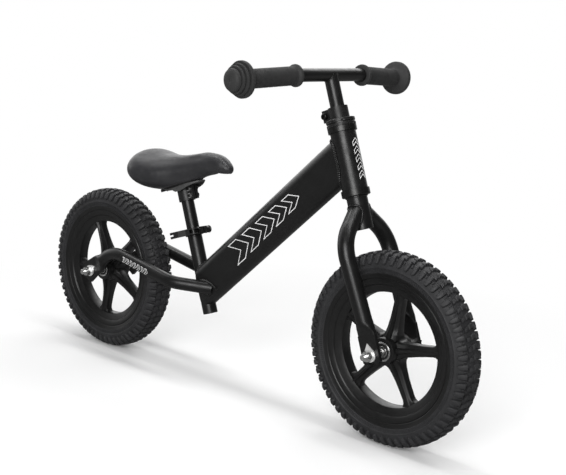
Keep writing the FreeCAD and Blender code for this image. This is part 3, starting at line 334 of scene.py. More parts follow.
def finish_cad_nodes():
    """Gives every carried-over CAD node its material, the tab washers a pale zinc with a painted
    reflection, and small edge rounds on the hardware.
    """
    rounded = {"seat_clamp_collar": 0.6, "steerer_clamp": 0.6, "saddle_clamp_sleeve": 0.5,
               "seat_clamp_lever": 0.6, "seat_clamp_skewer": 0.3, "front_tab_washers": 0.3,
               "rear_tab_washers": 0.3}
    for name, item in frame["nodes"].items():
        material = SLOT_MATERIALS[NODE_SLOTS[name]]
        # painted reflection: the tab washers take the pale zinc so their faces read white
        if name.endswith("tab_washers"):
            material = WASHER_ZINC_PAINTED_REFLECTION
        item.data.materials.clear()
        item.data.materials.append(material)
        if name in rounded:
            modifier = item.modifiers.new("edges", "BEVEL")
            modifier.width = rounded[name] / 1000
            modifier.segments = 2
            modifier.limit_method = "ANGLE"
            modifier.angle_limit = math.radians(35)
            modifier.harden_normals = True


# ---------------------------------------------------------------- tyres

TREAD_COUNT = 64
TREAD_RADIUS = 146.0
# the foam between the blocks, from the middle of the tread to the bead: (half width, radius)
CARCASS = [(0, 146.4), (7, 145.9), (12.2, 144.2), (16.4, 141.2), (19.2, 137.4), (21.0, 133.4),
           (22.0, 129.6), (22.4, 127.2), (23.0, 126.2), (22.5, 125.2), (22.0, 124.6),
           (21.6, 121), (21.3, 118.4), (20, 117)]


def crown_point(reach, lift):
    """A point on the tyre's surface, reach millimetres round from its middle, raised by lift."""
    side = -1 if reach < 0 else 1
    left = abs(reach)
    for (z0, r0), (z1, r1) in zip(CARCASS, CARCASS[1:]):
        span = math.hypot(z1 - z0, r1 - r0)
        if left <= span:
            share = left / span
            outward = Vector((-(r1 - r0), z1 - z0)) / span
            width = z0 + (z1 - z0) * share + outward.x * lift
            radius = r0 + (r1 - r0) * share + outward.y * lift
            return side * width, radius
        left -= span
    return side * CARCASS[-1][0], CARCASS[-1][1]


def tread_block(shape, corners, height, start_angle):
    """One block: corners are (reach round the crown, distance along the tread)."""
    centre_reach = sum(corner[0] for corner in corners) / len(corners)
    centre_run = sum(corner[1] for corner in corners) / len(corners)
    rings = []
    for lift, shrink in ((-1.5, 1.1), (height * 0.4, 1.0), (height * 0.78, 0.92),
                         (height * 0.95, 0.8), (height, 0.62)):
        ring = []
        for reach, run in corners:
            reach = centre_reach + (reach - centre_reach) * shrink
            run = centre_run + (run - centre_run) * shrink
            width, radius = crown_point(reach, lift)
            angle = start_angle + run / TREAD_RADIUS
            ring.append((radius * math.cos(angle), radius * math.sin(angle), width))
        rings.append(ring)
    shape.skin(rings)


def make_tyre(end):
    """Foam tyre: a carcass, rows of blocks in a block tread, and a band of fine ribs."""
    pitch = TURN / TREAD_COUNT
    run = TREAD_RADIUS * pitch
    shape = Shape()
    lower = [(radius, -width) for width, radius in CARCASS]
    upper = [(radius, width) for width, radius in reversed(CARCASS[1:])]
    shape.lathe(lower + [(110, -12), (110, 12)] + upper, TREAD_COUNT * 4)
    for index in range(TREAD_COUNT):
        angle = index * pitch
        half = angle + pitch / 2
        centre = [(-5.2, 0.12 * run), (0, -0.02 * run), (5.2, 0.12 * run), (5.2, 0.62 * run),
                  (0, 0.48 * run), (-5.2, 0.62 * run)]
        tread_block(shape, centre, 3.3, angle)
        for side in (-1, 1):
            flank = [(side * 6.8, -0.30 * run), (side * 13.2, -0.16 * run),
                     (side * 13.8, 0.30 * run), (side * 6.8, 0.14 * run)]
            tread_block(shape, flank, 3.7, half)
            shoulder = [(side * 15.0, -0.08 * run), (side * 21.0, -0.06 * run),
                        (side * 26.5, 0.02 * run), (side * 29.0, 0.14 * run),
                        (side * 29.0, 0.38 * run), (side * 26.5, 0.52 * run),
                        (side * 21.0, 0.58 * run), (side * 15.0, 0.50 * run)]
            tread_block(shape, shoulder, 4.3, angle)
            notch = [(side * 16.0, 0.64 * run), (side * 20.5, 0.68 * run),
                     (side * 20.5, 0.84 * run), (side * 16.0, 0.82 * run)]
            tread_block(shape, notch, 1.6, angle)
    piece(f"{end}_tyre_tread", shape, WHEELS[end], FOAM, f"{end}_wheel", smooth=40,
          replaces=(f"{end}_tyre",))
    ribs = Shape()
    rib_count = 240
    for index in range(rib_count):
        angle = TURN * index / rib_count
        thin = 0.16 * TURN / rib_count
        for side in (-1, 1):
            ring_low = []
            ring_high = []
            for turn, radius in ((-thin, 118.6), (-thin, 124.2), (thin, 124.2), (thin, 118.6)):
                base = between([(118.4, 21.3), (121, 21.6), (124.6, 22.0)], radius)
                x = radius * math.cos(angle + turn)
                y = radius * math.sin(angle + turn)
                ring_low.append((x, y, side * (base - 0.3)))
                ring_high.append((x, y, side * (base + 0.6)))
            ribs.skin([ring_low, ring_high])
    piece(f"{end}_tyre_ribs", ribs, WHEELS[end], FOAM, f"{end}_wheel")


# ---------------------------------------------------------------- rims

SPOKES = 5
SPOKE_HALF_WIDTH = [(16, 12.2), (19, 14.2), (20.7, 15.1), (22, 13.6), (24, 12.3), (26, 11.6),
                    (28, 11.3), (38, 10.4), (50, 9.2), (65, 8.3), (78, 8.0), (82, 8.8), (86, 11.5),
                    (89.5, 17), (95, 19)]
SPOKE_RIDGE = [(16, 19.5), (26, 18.0), (34, 15.6), (46, 13.2), (60, 11.8), (80, 11.0), (98, 11.0)]
SPOKE_WEB = [(16, 14), (26, 11.0), (34, 8.6), (50, 7.4), (88, 7.2), (98, 7.2)]


def spoke_section(radius, angle):
    """The spoke's outline at one radius: a web with a raised rib on each face."""
    half = between(SPOKE_HALF_WIDTH, radius)
    ridge = between(SPOKE_RIDGE, radius)
    web = between(SPOKE_WEB, radius)
    rib = between([(16, 4.2), (40, 2.6), (98, 1.9)], radius)
    upper = [(half, 0), (half, web * 0.55), (half - 0.7, web * 0.85), (half - 2.4, web),
             (rib + 2.4, web + 0.5), (rib + 0.7, web + 1.4), (rib, ridge - 1.2),
             (rib - 1.0, ridge), (0, ridge + 0.15)]
    loop = upper + [(-across, depth) for across, depth in reversed(upper[:-1])]
    lower = [(across, -depth) for across, depth in reversed(loop[1:-1])]
    cos, sin = math.cos(angle), math.sin(angle)
    return [(radius * cos - across * sin, radius * sin + across * cos, depth)
            for across, depth in loop + lower]


def make_rim(end, first_spoke):
    """Moulded rim, hub and five ribbed spokes."""
    shape = Shape()
    outer = [(88.0, 8.6), (88.6, 10.0), (90.0, 10.9), (95, 12.9), (99.5, 14.6), (100.6, 16.4),
             (102, 17.4), (108.6, 18.9), (109.6, 19.0), (110.4, 18.2), (111.2, 19.0),
             (112.2, 19.4), (115.6, 20.2), (117.2, 20.9),
             (118.6, 20.6), (118.6, 19.4), (116.5, 17.2), (104, 14.6), (101.5, 12), (94, 9.4),
             (93, 6)]
    shape.lathe(mirrored(outer), 160)
    hub = [(13, 25.0), (19.4, 25.0), (20.6, 24.5), (21.0, 23.4), (21.0, 12), (20.2, 6), (20, 0)]
    inner = [(20, 0), (20.2, -6), (21, -12), (21, -23.4), (20.6, -24.5), (19.4, -25), (13, -25),
             (13, -18), (8.5, -18), (8.5, 18), (13, 18)]
    shape.lathe(hub[:-1] + inner, 96)
    stations = [15, 17, 19, 20, 20.7, 21.3, 22, 23, 24, 25, 26, 28, 31, 34, 38, 43, 50, 58, 65, 72,
                78, 80, 82, 84, 86, 88, 89.5, 91, 93, 95]
    for index in range(SPOKES):
        angle = -math.radians(first_spoke) + TURN * index / SPOKES
        shape.skin([spoke_section(radius, angle) for radius in stations])
    piece(f"{end}_rim_moulding", shape, WHEELS[end], RIM, f"{end}_wheel", smooth=32,
          replaces=(f"{end}_rim",))


# ---------------------------------------------------------------- axle hardware

def hex_ring(flats, limit, height, count=48):
    """A ring round a hexagon, cut back to the limit radius at its corners."""
    ring = []
    for step in range(count):
        angle = TURN * step / count
        corner = math.cos((angle % (TURN / 6)) - TURN / 12)
        radius = min(flats / 2 / corner, limit)
        ring.append((radius * math.cos(angle), radius * math.sin(angle), height))
    return ring


def nut_shape(shape, flats, height, bore, start=0.0):
    """A hexagon nut with chamfered corners on both faces."""
    inside = flats / 2 + 0.3
    outside = flats / 2 / math.cos(TURN / 12) + 0.01
    chamfer = 0.14 * height
    count = 48
    rings = [circle_points(bore, count, start + 0.05), circle_points(bore + 0.6, count, start),
             hex_ring(flats, inside, start), hex_ring(flats, outside, start + chamfer),
             hex_ring(flats, outside, start + height - chamfer),
             hex_ring(flats, inside, start + height),
             circle_points(bore + 0.6, count, start + height),
             circle_points(bore, count, start + height - 0.4)]
    shape.skin(rings, closed=True)


NUT_FLATS = 15
NUT_HEIGHT = 9
NUT_FACE = 56.0
THREAD_END = 72.9
THREAD_ROOT = 4.15
THREAD_CREST = 4.72
THREAD_CHAMFER = 3.6


def make_axle_hardware(end, body):
    """Both axle nuts, and the axle with its thread."""
    placement = WHEELS[end]
    nuts = Shape()
    threads = Shape()
    for side in (-1, 1):
        low = Shape()
        nut_shape(low, NUT_FLATS, NUT_HEIGHT, 4.3, NUT_FACE)
        offset = len(nuts.points)
        nuts.points += [(x, y, side * z) for x, y, z in low.points]
        nuts.faces += [tuple(offset + corner for corner in face) for face in low.faces]
    piece(f"{end}_nuts_chamfered", nuts, placement, ZINC, body, smooth=30,
          replaces=(f"{end}_axle_nuts",))
    height = -THREAD_END
    sides = 32
    pitch = 1.0
    rings = [circle_points(THREAD_CHAMFER, sides, height)]
    while height < THREAD_END - pitch:
        rings.append(circle_points(THREAD_ROOT, sides, height))
        rings.append(circle_points(THREAD_CREST, sides, height + pitch * 0.5))
        height += pitch
    rings.append(circle_points(THREAD_ROOT, sides, height))
    rings.append(circle_points(THREAD_CHAMFER, sides, THREAD_END))
    threads.skin(rings)
    piece(f"{end}_axle_thread", threads, placement, ZINC, body, smooth=60,
          replaces=(f"{end}_axle",))


def make_bearings(end):
    """A bright shield with a dark seal ring on each side of the hub."""
    for side_name, side in SIDES.items():
        seal = Shape()
        seal.lathe([(radius, side * height) for radius, height in
                    ((9.1, 24.0), (9.1, 25.5), (9.6, 25.7), (11.9, 25.7), (12.3, 25.5),
                     (12.3, 24.0))], 64)
        piece(f"{end}_bearing_seal_{side_name}", seal, WHEELS[end], PLASTIC, f"{end}_wheel")
        shape = Shape()
        profile = [(6.5, 25.9), (6.8, 26.0), (8.6, 26.0), (8.9, 25.6), (9.2, 25.2), (12.4, 25.3),
                   (12.7, 25.8), (13.0, 26.0), (14.6, 26.0), (15.0, 25.6), (15.0, 17.0),
                   (6.5, 17.0)]
        shape.lathe([(radius, side * height) for radius, height in profile], 64)
        piece(f"{end}_bearing_shield_{side_name}", shape, WHEELS[end], ZINC, f"{end}_wheel",
              replaces=(f"{end}_bearing_{side_name}",))


# ---------------------------------------------------------------- grips

GRIP_START = 77.0
BAR_HEIGHT = 426.8
BAR_BEND_START = 62.0
BAR_SWEEP = math.radians(5.8)
BAR_DROP = math.radians(1.2)


def make_grip(side_name):
    """Rubber grip: a flange, a hand part with raised diamonds, and a stepped safety end."""
    side = SIDES[side_name]
    joint_axis = STEERING.to_3x3() @ bar_direction(side)
    start = STEERING @ bar_at(side, GRIP_START)
    placement = placed(start, joint_axis.normalized())
    shape = Shape()
    count = 144
    rings = []
    steps = [(10.4, 0.3), (15.2, 0.0), (16.6, 0.6), (17.0, 1.8), (17.0, 4.2), (16.4, 5.4),
             (15.2, 6.4), (14.1, 7.6)]
    for radius, height in steps:
        rings.append(circle_points(radius, count, height))
    low, high = 8.6, 96.0
    rows = 150
    for row in range(rows + 1):
        height = low + (high - low) * row / rows
        fade = eased((height - low - 2) / 2.5) * eased((high - 2 - height) / 2.5)
        ring = []
        for step in range(count):
            angle = TURN * step / count
            turns = 12
            first = math.sin(angle * turns + height * 0.95)
            second = math.sin(angle * turns - height * 0.95)
            raised = 0.55 * eased((min(abs(first), abs(second)) - 0.12) / 0.4)
            radius = 13.7 + raised * fade
            ring.append(Vector((radius * math.cos(angle), radius * math.sin(angle), height)))
        rings.append(ring)
    bell = [(14.2, 96.8), (15.2, 98.2), (19.5, 100.4), (24.5, 102.6), (26.6, 104.2), (27.0, 105.6),
            (27.0, 109.6), (26.4, 110.6), (22.5, 110.7), (22.3, 111.9), (23.6, 112.2),
            (23.6, 115.4), (23.0, 116.2), (19.3, 116.3), (19.1, 117.5), (20.4, 117.8),
            (20.4, 120.8), (19.8, 121.6), (16.1, 121.7), (15.9, 122.9), (17.1, 123.2),
            (16.6, 126.4), (15.4, 128.2), (12.6, 129.8),
            (8.0, 130.8), (3.0, 131.0)]
    for radius, height in bell:
        rings.append(circle_points(radius, count, height))
    dimple = [(2.4, 130.6), (1.2, 130.2)]
    for radius, height in dimple:
        rings.append(circle_points(radius, count, height))
    shape.skin(rings)
    piece(f"grip_rubber_{side_name}", shape, placement, RUBBER, "handlebar", smooth=50,
          replaces=(f"grip_{side_name}",))


def bar_direction(side):
    """The way a swept end of the bar points, in the steering frame."""
    sweep, drop = math.sin(BAR_SWEEP), math.sin(BAR_DROP)
    return Vector((-sweep, side * math.sqrt(1 - sweep * sweep - drop * drop), -drop))


def bar_at(side, reach):
    """A point of the bar's swept end, reach from the middle plane."""
    direction = bar_direction(side)
    corner = Vector((0, side * BAR_BEND_START, BAR_HEIGHT))
    return corner + direction * ((reach - BAR_BEND_START) / abs(direction.y))


# ---------------------------------------------------------------- saddle

PLATE_TOP = 229.0
# the nose ahead of this hangs free; behind it the padding lies on the base
NOSE_START = 80
SADDLE_BACK = -106.0
SADDLE_TIP = 121
CUSHION_LOW = 2.5
# share of the full form that the cover starts from, before the cloth swells it
START_SHARE = 0.95
# ahead of the post, half width, middle above the plate, half height
SADDLE_FORM = [(-106, 23, 53, 12), (-94, 45, 50, 27), (-64, 64, 44.5, 37), (-24, 59, 29.5, 30.5),
               (14, 41, 23, 25), (52, 27, 23.5, 18.3), (88, 21.5, 20.2, 16.8),
               (110, 16, 12, 15.5), (121, 10, 3.5, 9.5)]


def smooth_between(table, at):
    """A smooth curve through the rows of a table, by their first column."""
    if at <= table[0][0]:
        return table[0][1:]
    if at >= table[-1][0]:
        return table[-1][1:]
    index = max(row for row in range(len(table) - 1) if table[row][0] <= at)
    before, low, high, after = (table[min(max(index + step, 0), len(table) - 1)]
                                for step in (-1, 0, 1, 2))
    share = (at - low[0]) / (high[0] - low[0])
    values = []
    for column in range(1, len(low)):
        first = (high[column] - before[column]) / (high[0] - before[0]) * (high[0] - low[0])
        second = (after[column] - low[column]) / (after[0] - low[0]) * (high[0] - low[0])
        two, three = share * share, share ** 3
        values.append((2 * three - 3 * two + 1) * low[column] + (three - 2 * two + share) * first
                      + (3 * two - 2 * three) * high[column] + (three - two) * second)
    return values


def saddle_ring(ahead, scale, shift=0.0):
    """One cross section of the padding, drawn in flat where it lies on the base."""
    half_width, centre, half_height = smooth_between(SADDLE_FORM, ahead)
    ring = []
    count = 56
    for step in range(count):
        angle = TURN * step / count
        height = centre + scale * half_height * math.sin(angle)
        if height < CUSHION_LOW and ahead < NOSE_START:
            height = CUSHION_LOW + (height - CUSHION_LOW) * 0.12
        ring.append(Vector((ahead + shift, scale * half_width * math.cos(angle),
                            PLATE_TOP + height)))
    return ring


SWELL_FRAMES = 20


def filled(item, voxel_mm, pressure, cap_mm, floor_mm):
    """Lets the cover swell as cloth over its filling, by no more than cap_mm."""
    scene = bpy.context.scene
    remesh = item.modifiers.new("voxels", "REMESH")
    remesh.mode = "VOXEL"
    remesh.voxel_size = voxel_mm / 1000
    graph = bpy.context.evaluated_depsgraph_get()
    mesh = bpy.data.meshes.new_from_object(item.evaluated_get(graph))
    item.modifiers.remove(remesh)
    item.data = mesh
    start = [vertex.co.copy() for vertex in mesh.vertices]
    cloth = item.modifiers.new("cover", "CLOTH")
    cloth.settings.use_pressure = True
    cloth.settings.uniform_pressure_force = pressure
    cloth.settings.effector_weights.gravity = 0
    for step in range(1, SWELL_FRAMES + 1):
        scene.frame_set(step)
    graph = bpy.context.evaluated_depsgraph_get()
    swollen = bpy.data.meshes.new_from_object(item.evaluated_get(graph))
    item.modifiers.remove(cloth)
    to_seat = SEAT.inverted()
    for vertex, first in zip(swollen.vertices, start):
        move = vertex.co - first
        if move.length > cap_mm / 1000:
            move *= cap_mm / 1000 / move.length
        spot = to_seat @ (first + move)
        if spot.x < NOSE_START:
            spot.z = max(spot.z, floor_mm)
        vertex.co = SEAT @ spot
    item.data = swollen
    scene.frame_set(1)


def make_saddle():
    """The vinyl-covered padding, and the plastic shell that shows below it."""
    shape = Shape()
    scale = START_SHARE
    rings = [saddle_ring(SADDLE_BACK, scale * share, -back)
             for share, back in ((0.35, 3.2), (0.65, 2.4), (0.88, 1.2))]
    ahead = SADDLE_BACK
    while ahead < SADDLE_TIP:
        rings.append(saddle_ring(ahead, scale))
        ahead += 4
    rings += [saddle_ring(SADDLE_TIP, scale * share, forward)
              for share, forward in ((1, 0), (0.8, 1.4), (0.4, 2.4))]
    shape.skin(rings)
    cushion = piece("saddle_cover", shape, SEAT, VINYL, "saddle", smooth=180,
                    replaces=("saddle_cushion",))
    filled(cushion, voxel_mm=5, pressure=4, cap_mm=4, floor_mm=PLATE_TOP + 1.2)
    cushion.data.materials.clear()
    cushion.data.materials.append(VINYL)
    shade(cushion, 180)
    rounding = cushion.modifiers.new("rounding", "SUBSURF")
    rounding.levels = 1
    rounding.render_levels = 1

    shell = Shape()
    rings = []
    for level, inset in ((0.2, 6.5), (0.0, 4.2), (0.8, 3.4), (4.5, 3.0), (5.2, 4.0)):
        near = []
        ahead = -62.0
        while ahead <= 46:
            half_width, centre, half_height = smooth_between(SADDLE_FORM, ahead)
            reach = 1 - ((CUSHION_LOW - centre) / half_height) ** 2
            near.append((ahead, max(half_width * math.sqrt(max(reach, 0)) - inset, 1.2)))
            ahead += 3
        outline = near + [(ahead, -width) for ahead, width in reversed(near)]
        rings.append([(ahead, width, PLATE_TOP + level) for ahead, width in outline])
    shell.skin(rings)
    piece("saddle_shell", shell, SEAT, PLASTIC, "saddle", smooth=30, replaces=("saddle_base",))


def make_saddle_plate():
    """The stamped plate: a tongue at the back and two bent-down sides that fade out forward."""
    shape = Shape()
    stations = [(-38, 8.5, 0.8), (-34, 13, 0.9), (-28, 19.4, 1.0), (-14, 20, 1.4), (-9, 20, 5.5),
                (-5, 20, 7.6), (8, 20, 7.8), (18, 20, 6.2), (27, 19.4, 4.0), (36, 14.5, 2.2),
                (43, 10, 1.2), (46, 7.6, 0.8)]
    plate = 1.9
    rings = []
    for ahead, half, depth in stations:
        low = PLATE_TOP - plate - depth
        outer = [(half - 1.2, PLATE_TOP), (half - 0.3, PLATE_TOP - 0.5), (half, PLATE_TOP - 1.6),
                 (half, low + 0.5), (half - 0.5, low), (half - 1.3, low), (half - 1.8, low + 0.5),
                 (half - 1.8, PLATE_TOP - plate - 0.9), (half - 2.6, PLATE_TOP - plate)]
        loop = outer + [(-across, height) for across, height in reversed(outer)]
        rings.append([(ahead, across, height) for across, height in loop])
    shape.skin(rings)
    piece("saddle_plate_stamped", shape, SEAT, GREY_STEEL, "saddle", smooth=40,
          replaces=("saddle_plate",))


# ---------------------------------------------------------------- headset

def make_headset():
    """Cups and locknut as turned rings, the upper cup with a notched skirt."""
    for name, notches, depth, zone in (("headset_cone", 16, 0.9, 0.45),
                                       ("headset_locknut", 8, 0.8, 0.4)):
        item = frame["nodes"][name]
        low, high = level_range(item, STEERING)
        middle_height = low + (high - low) * zone
        outer = max((STEERING.inverted() @ (item.matrix_world @ vertex.co)).to_2d().length
                    for vertex in item.data.vertices)
        shape = Shape()
        rings = []
        count = notches * 12
        levels = [(13.2, low), (outer - 0.8, low), (outer, low + 0.7), (outer, middle_height - 0.2),
                  (outer, middle_height + 0.2), (outer, high - 0.7), (outer - 0.7, high),
                  (13.2, high)]
        for radius, height in levels:
            ring = []
            for step in range(count):
                angle = TURN * step / count
                cut = depth if step % 12 < 3 and height < middle_height and radius > 14 else 0
                ring.append(((radius - cut) * math.cos(angle), (radius - cut) * math.sin(angle),
                             height))
            rings.append(ring)
        shape.skin(rings, closed=True)
        piece(f"{name}_turned", shape, STEERING, CLAMP_PAINT, body_of(name), smooth=30,
              replaces=(name,))


def level_range(item, placement):
    """Lowest and highest level of a node along the z of a placement, in millimetres."""
    inverse = placement.inverted()
    heights = [(inverse @ (item.matrix_world @ vertex.co)).z for vertex in item.data.vertices]
    return min(heights), max(heights)


def body_of(node):
    for name, nodes in RECORD["behaviour"]["bodies"].items():
        if node in nodes:
            return name
    raise KeyError(node)


# ---------------------------------------------------------------- welds

def evenly(path, spacing, closed):
    """The same line with points at equal steps of about spacing."""
    corners = path + path[:1] if closed else path
    lengths = [(after - before).length for before, after in zip(corners, corners[1:])]
    total = sum(lengths)
    count = max(int(total / spacing), 4)
    points = []
    index, passed = 0, 0.0
    for step in range(count + (0 if closed else 1)):
        goal = total * step / count
        while index < len(lengths) - 1 and passed + lengths[index] < goal:
            passed += lengths[index]
            index += 1
        share = (goal - passed) / max(lengths[index], 1e-9)
        points.append(corners[index].lerp(corners[index + 1], min(share, 1.0)))
    return points


def bead(shape, path, centre, radius, closed):
    """A weld bead: a round rope along the joint with the ripples of the torch."""
    spacing = 0.9
    path = evenly(path, spacing, closed)
    rings = []
    count = len(path)
    for index, point in enumerate(path):
        before = path[index - 1] if index or closed else point
        after = path[(index + 1) % count] if index + 1 < count or closed else point
        along = (after - before).normalized()
        outward = point - centre
        outward = (outward - along * outward.dot(along)).normalized()
        side = along.cross(outward)
        size = radius * (1 + 0.17 * math.cos(TURN * index / 3))
        if not closed:
            size *= 0.4 + 0.6 * eased(min(index, count - 1 - index) / 3)
        rings.append([point + (side * math.cos(TURN * step / 10)
                               + outward * math.sin(TURN * step / 10)) * size
                      for step in range(10)])
    shape.skin(rings, closed=closed)


def weld(name, rays, onto, body, radius=2.0):
    """A bead where rays from one tube's outline, given in metres, meet another node."""
    item = frame["nodes"][onto]
    vertices = [item.matrix_world @ vertex.co for vertex in item.data.vertices]
    tree = BVHTree.FromPolygons(vertices, [face.vertices for face in item.data.polygons])
    runs = [[]]
    for origin, heading in rays:
        hit = tree.ray_cast(origin, heading)[0]
        if hit is None:
            if runs[-1]:
                runs.append([])
            continue
        runs[-1].append(hit * 1000)
    closed = len(runs) == 1
    if not closed and runs[0] and runs[-1]:
        runs = [runs[-1] + runs[0]] + runs[1:-1]
    runs = [run for run in runs if len(run) > 3]
    shape = Shape()
    for run in runs:
        centre = sum(run, Vector()) / len(run)
        bead(shape, run, centre, radius, closed)
    if shape.points:
        piece(name, shape, ROW, WELD_PAINT, body, smooth=60)
    return len(runs)


def ring_rays(placement, outline, start, heading):
    """Rays along z of a placement from an outline of (x, y), in millimetres."""
    turn = placement.to_3x3().normalized()
    return [(placement @ Vector((x, y, start)), turn @ Vector((0, 0, heading)))
            for x, y in outline]


def oval_outline(half_straight, radius, count=96):
    """The down tube's outline, as equal steps of angle round each end."""
    points = []
    for step in range(count):
        angle = TURN * step / count
        shift = half_straight if math.cos(angle) > 0 else -half_straight
        points.append((shift + radius * math.cos(angle), radius * math.sin(angle)))
    return points


DOWN_TUBE_LOW = SEAT @ Vector((0, 0, 46.9))
DOWN_TUBE_HIGH = STEERING @ Vector((0, 0, 300.4))
DOWN_TUBE = placed(DOWN_TUBE_LOW, DOWN_TUBE_HIGH - DOWN_TUBE_LOW)
DOWN_TUBE_SIZE = (34.0, 18.0)
# distance of a chainstay from the middle plane, millimetres
STAY_OUT = 51.5
STAY_RADIUS = 11.1
HEAD_TUBE_RADIUS = 20.0


def round_outline(radius, count=72):
    return [(radius * math.cos(TURN * step / count), radius * math.sin(TURN * step / count))
            for step in range(count)]


CROWN_LEVEL = 221
LEG_CORNER = (54, 170.7)
# where a chainstay ends inside the down tube, and where it bends, millimetres
STAY_JOINT = (-46, 12, 167.6)
STAY_BEND = (-110, 172)
STAY_ARCH = (-267, 198.6)


def stay_point(side, place):
    """A point of a chainstay's centre line beside the wheel, in metres."""
    return ROW @ Vector((place[0], side * STAY_OUT, place[1]))


def make_welds():
    """The beads where the tubes of frame, fork and bar meet."""
    half_height, half_width = DOWN_TUBE_SIZE
    oval = oval_outline(half_height - half_width, half_width + 0.3)
    weld("weld_head_tube", ring_rays(DOWN_TUBE, oval, 250, 1), "head_tube", "frame", 2.7)
    weld("weld_seat_tube_top", ring_rays(SEAT, round_outline(13.0), 140, -1), "down_tube", "frame")
    for side_name, side in SIDES.items():
        joint = ROW @ Vector((STAY_JOINT[0], side * STAY_JOINT[1], STAY_JOINT[2]))
        outer = stay_point(side, STAY_BEND)
        stay = placed(outer, joint - outer)
        weld(f"weld_stay_{side_name}", ring_rays(stay, round_outline(11.3), 10, 1), "down_tube",
             "frame", 2.9)
        crown = STEERING @ Vector((0, 0, CROWN_LEVEL))
        corner = STEERING @ Vector((0, side * LEG_CORNER[0], LEG_CORNER[1]))
        leg = placed(corner, crown - corner)
        weld(f"weld_leg_{side_name}", ring_rays(leg, round_outline(12.9), 20, 1), "fork_crown",
             "fork", 2.0)
    weld("weld_stem", ring_rays(STEERING, round_outline(11.2), 395, 1), "handlebar_bar",
         "handlebar", 1.2)
    weld("weld_crown_race", ring_rays(STEERING, round_outline(15.6), 200, 1),
         "headset_crown_race", "fork", 1.2)


# ---------------------------------------------------------------- printed outlines

def outline_strip(shape, corners, width, place):
    """A closed painted line; place maps (along, across, lift) to a surface."""
    count = len(corners)
    inner = []
    for index in range(count):
        before = Vector(corners[index - 1])
        here = Vector(corners[index])
        after = Vector(corners[(index + 1) % count])
        first = (here - before).normalized()
        second = (after - here).normalized()
        normal = (Vector((-first.y, first.x)) + Vector((-second.y, second.x))).normalized()
        reach = width / max(normal.dot(Vector((-first.y, first.x))), 0.35)
        inner.append(here + normal * reach)
    rings = []
    pieces_per_edge = 6
    for index in range(count):
        after = (index + 1) % count
        for step in range(pieces_per_edge):
            share = step / pieces_per_edge
            outside = Vector(corners[index]).lerp(Vector(corners[after]), share)
            inside = inner[index].lerp(inner[after], share)
            rings.append([place(outside.x, outside.y, -0.15), place(outside.x, outside.y, 0.12),
                          place(inside.x, inside.y, 0.12), place(inside.x, inside.y, -0.15)])
    shape.skin(rings, closed=True)


def chevron(start, length, half_height, slant):
    """A slanted arrow shape, anticlockwise."""
    low, high = -half_height, half_height
    body = length * 0.52
    return [(start, low), (start + body, low), (start + length, slant), (start + body, high),
            (start, high), (start + length - body, slant)]


def on_down_tube(side):
    half_height, half_width = DOWN_TUBE_SIZE
    flat = half_height - half_width

    def place(along, across, lift):
        if abs(across) <= flat:
            return Vector((across, side * (half_width + lift), along))
        turn = (abs(across) - flat) / half_width
        height = math.copysign(flat + (half_width + lift) * math.sin(turn), across)
        return Vector((height, side * (half_width + lift) * math.cos(turn), along))
    return place


def make_decals():
    """Plain outlined chevrons on the down tube, the chainstays and the head tube."""
    for side_name, side in SIDES.items():
        shape = Shape()
        place = on_down_tube(side)
        start = 108.0
        for length, half_height in ((46, 19), (44, 17.5), (42, 16), (40, 14.5), (38, 13)):
            outline_strip(shape, chevron(start, length, half_height, 2.0), 1.3, place)
            start += length * 0.86
        piece(f"down_tube_outline_{side_name}", shape, DOWN_TUBE, DECAL, "frame")
        arch = stay_point(side, STAY_ARCH)
        corner = stay_point(side, STAY_BEND)
        stay = placed(arch, corner - arch, Vector((0, 0, -1)))

        def on_stay(along, across, lift):
            turn = across / STAY_RADIUS
            reach = STAY_RADIUS + lift
            return Vector((reach * math.sin(turn), side * reach * math.cos(turn), along))
        small = Shape()
        for index in range(7):
            outline_strip(small, chevron(40 + index * 10, 10.5, 5.0, 0.6), 0.7, on_stay)
        piece(f"stay_outline_{side_name}", small, stay, DECAL, "frame")

    def on_head(along, across, lift):
        turn = across / HEAD_TUBE_RADIUS
        reach = HEAD_TUBE_RADIUS + lift
        return Vector((reach * math.cos(turn), reach * math.sin(turn), along))
    front = Shape()
    for index in range(5):
        outline_strip(front, chevron(260 + index * 12.6, 13.5, 6.5, 0.8), 0.9, on_head)
    piece("head_tube_outline", front, STEERING, DECAL, "frame")


# ---------------------------------------------------------------- stage

# strength of the world: on matte surfaces, in reflections, and in reflections of the backdrop
AMBIENT = 0.44
DIM_ROOM = 0.07
BACKDROP = 1.7
FLOOR_IN_REFLECTIONS = 0.22
# direction of the backdrop
AWAY = (-0.86, 0.49, 0.14)


def make_world():
    """White to the camera, an even light on matte surfaces, a pale backdrop in reflections."""
    world = bpy.data.worlds.new("studio")
    bpy.context.scene.world = world
    world.use_nodes = True
    tree = world.node_tree
    background = tree.nodes["Background"]
    paths = tree.nodes.new("ShaderNodeLightPath")
    facing = tree.nodes.new("ShaderNodeVectorMath")
    facing.operation = "DOT_PRODUCT"
    direction = tree.nodes.new("ShaderNodeTexCoord").outputs["Generated"]
    tree.links.new(direction, facing.inputs[0])
    facing.inputs[1].default_value = AWAY
    room = add_node(tree, "ShaderNodeMapRange", Value=facing.outputs["Value"])
    room.inputs["From Min"].default_value = 0.3
    room.inputs["From Max"].default_value = 0.9
    room.inputs["To Min"].default_value = DIM_ROOM
    room.inputs["To Max"].default_value = BACKDROP
    glossy = add_node(tree, "ShaderNodeMapRange", Value=paths.outputs["Is Glossy Ray"])
    glossy.inputs["To Min"].default_value = AMBIENT
    tree.links.new(room.outputs["Result"], glossy.inputs["To Max"])
    seen = add_node(tree, "ShaderNodeMapRange", Value=paths.outputs["Is Camera Ray"])
    tree.links.new(glossy.outputs["Result"], seen.inputs["To Min"])
    seen.inputs["To Max"].default_value = 1.0
    tree.links.new(seen.outputs["Result"], background.inputs["Strength"])
    background.inputs["Color"].default_value = (1, 1, 1, 1)


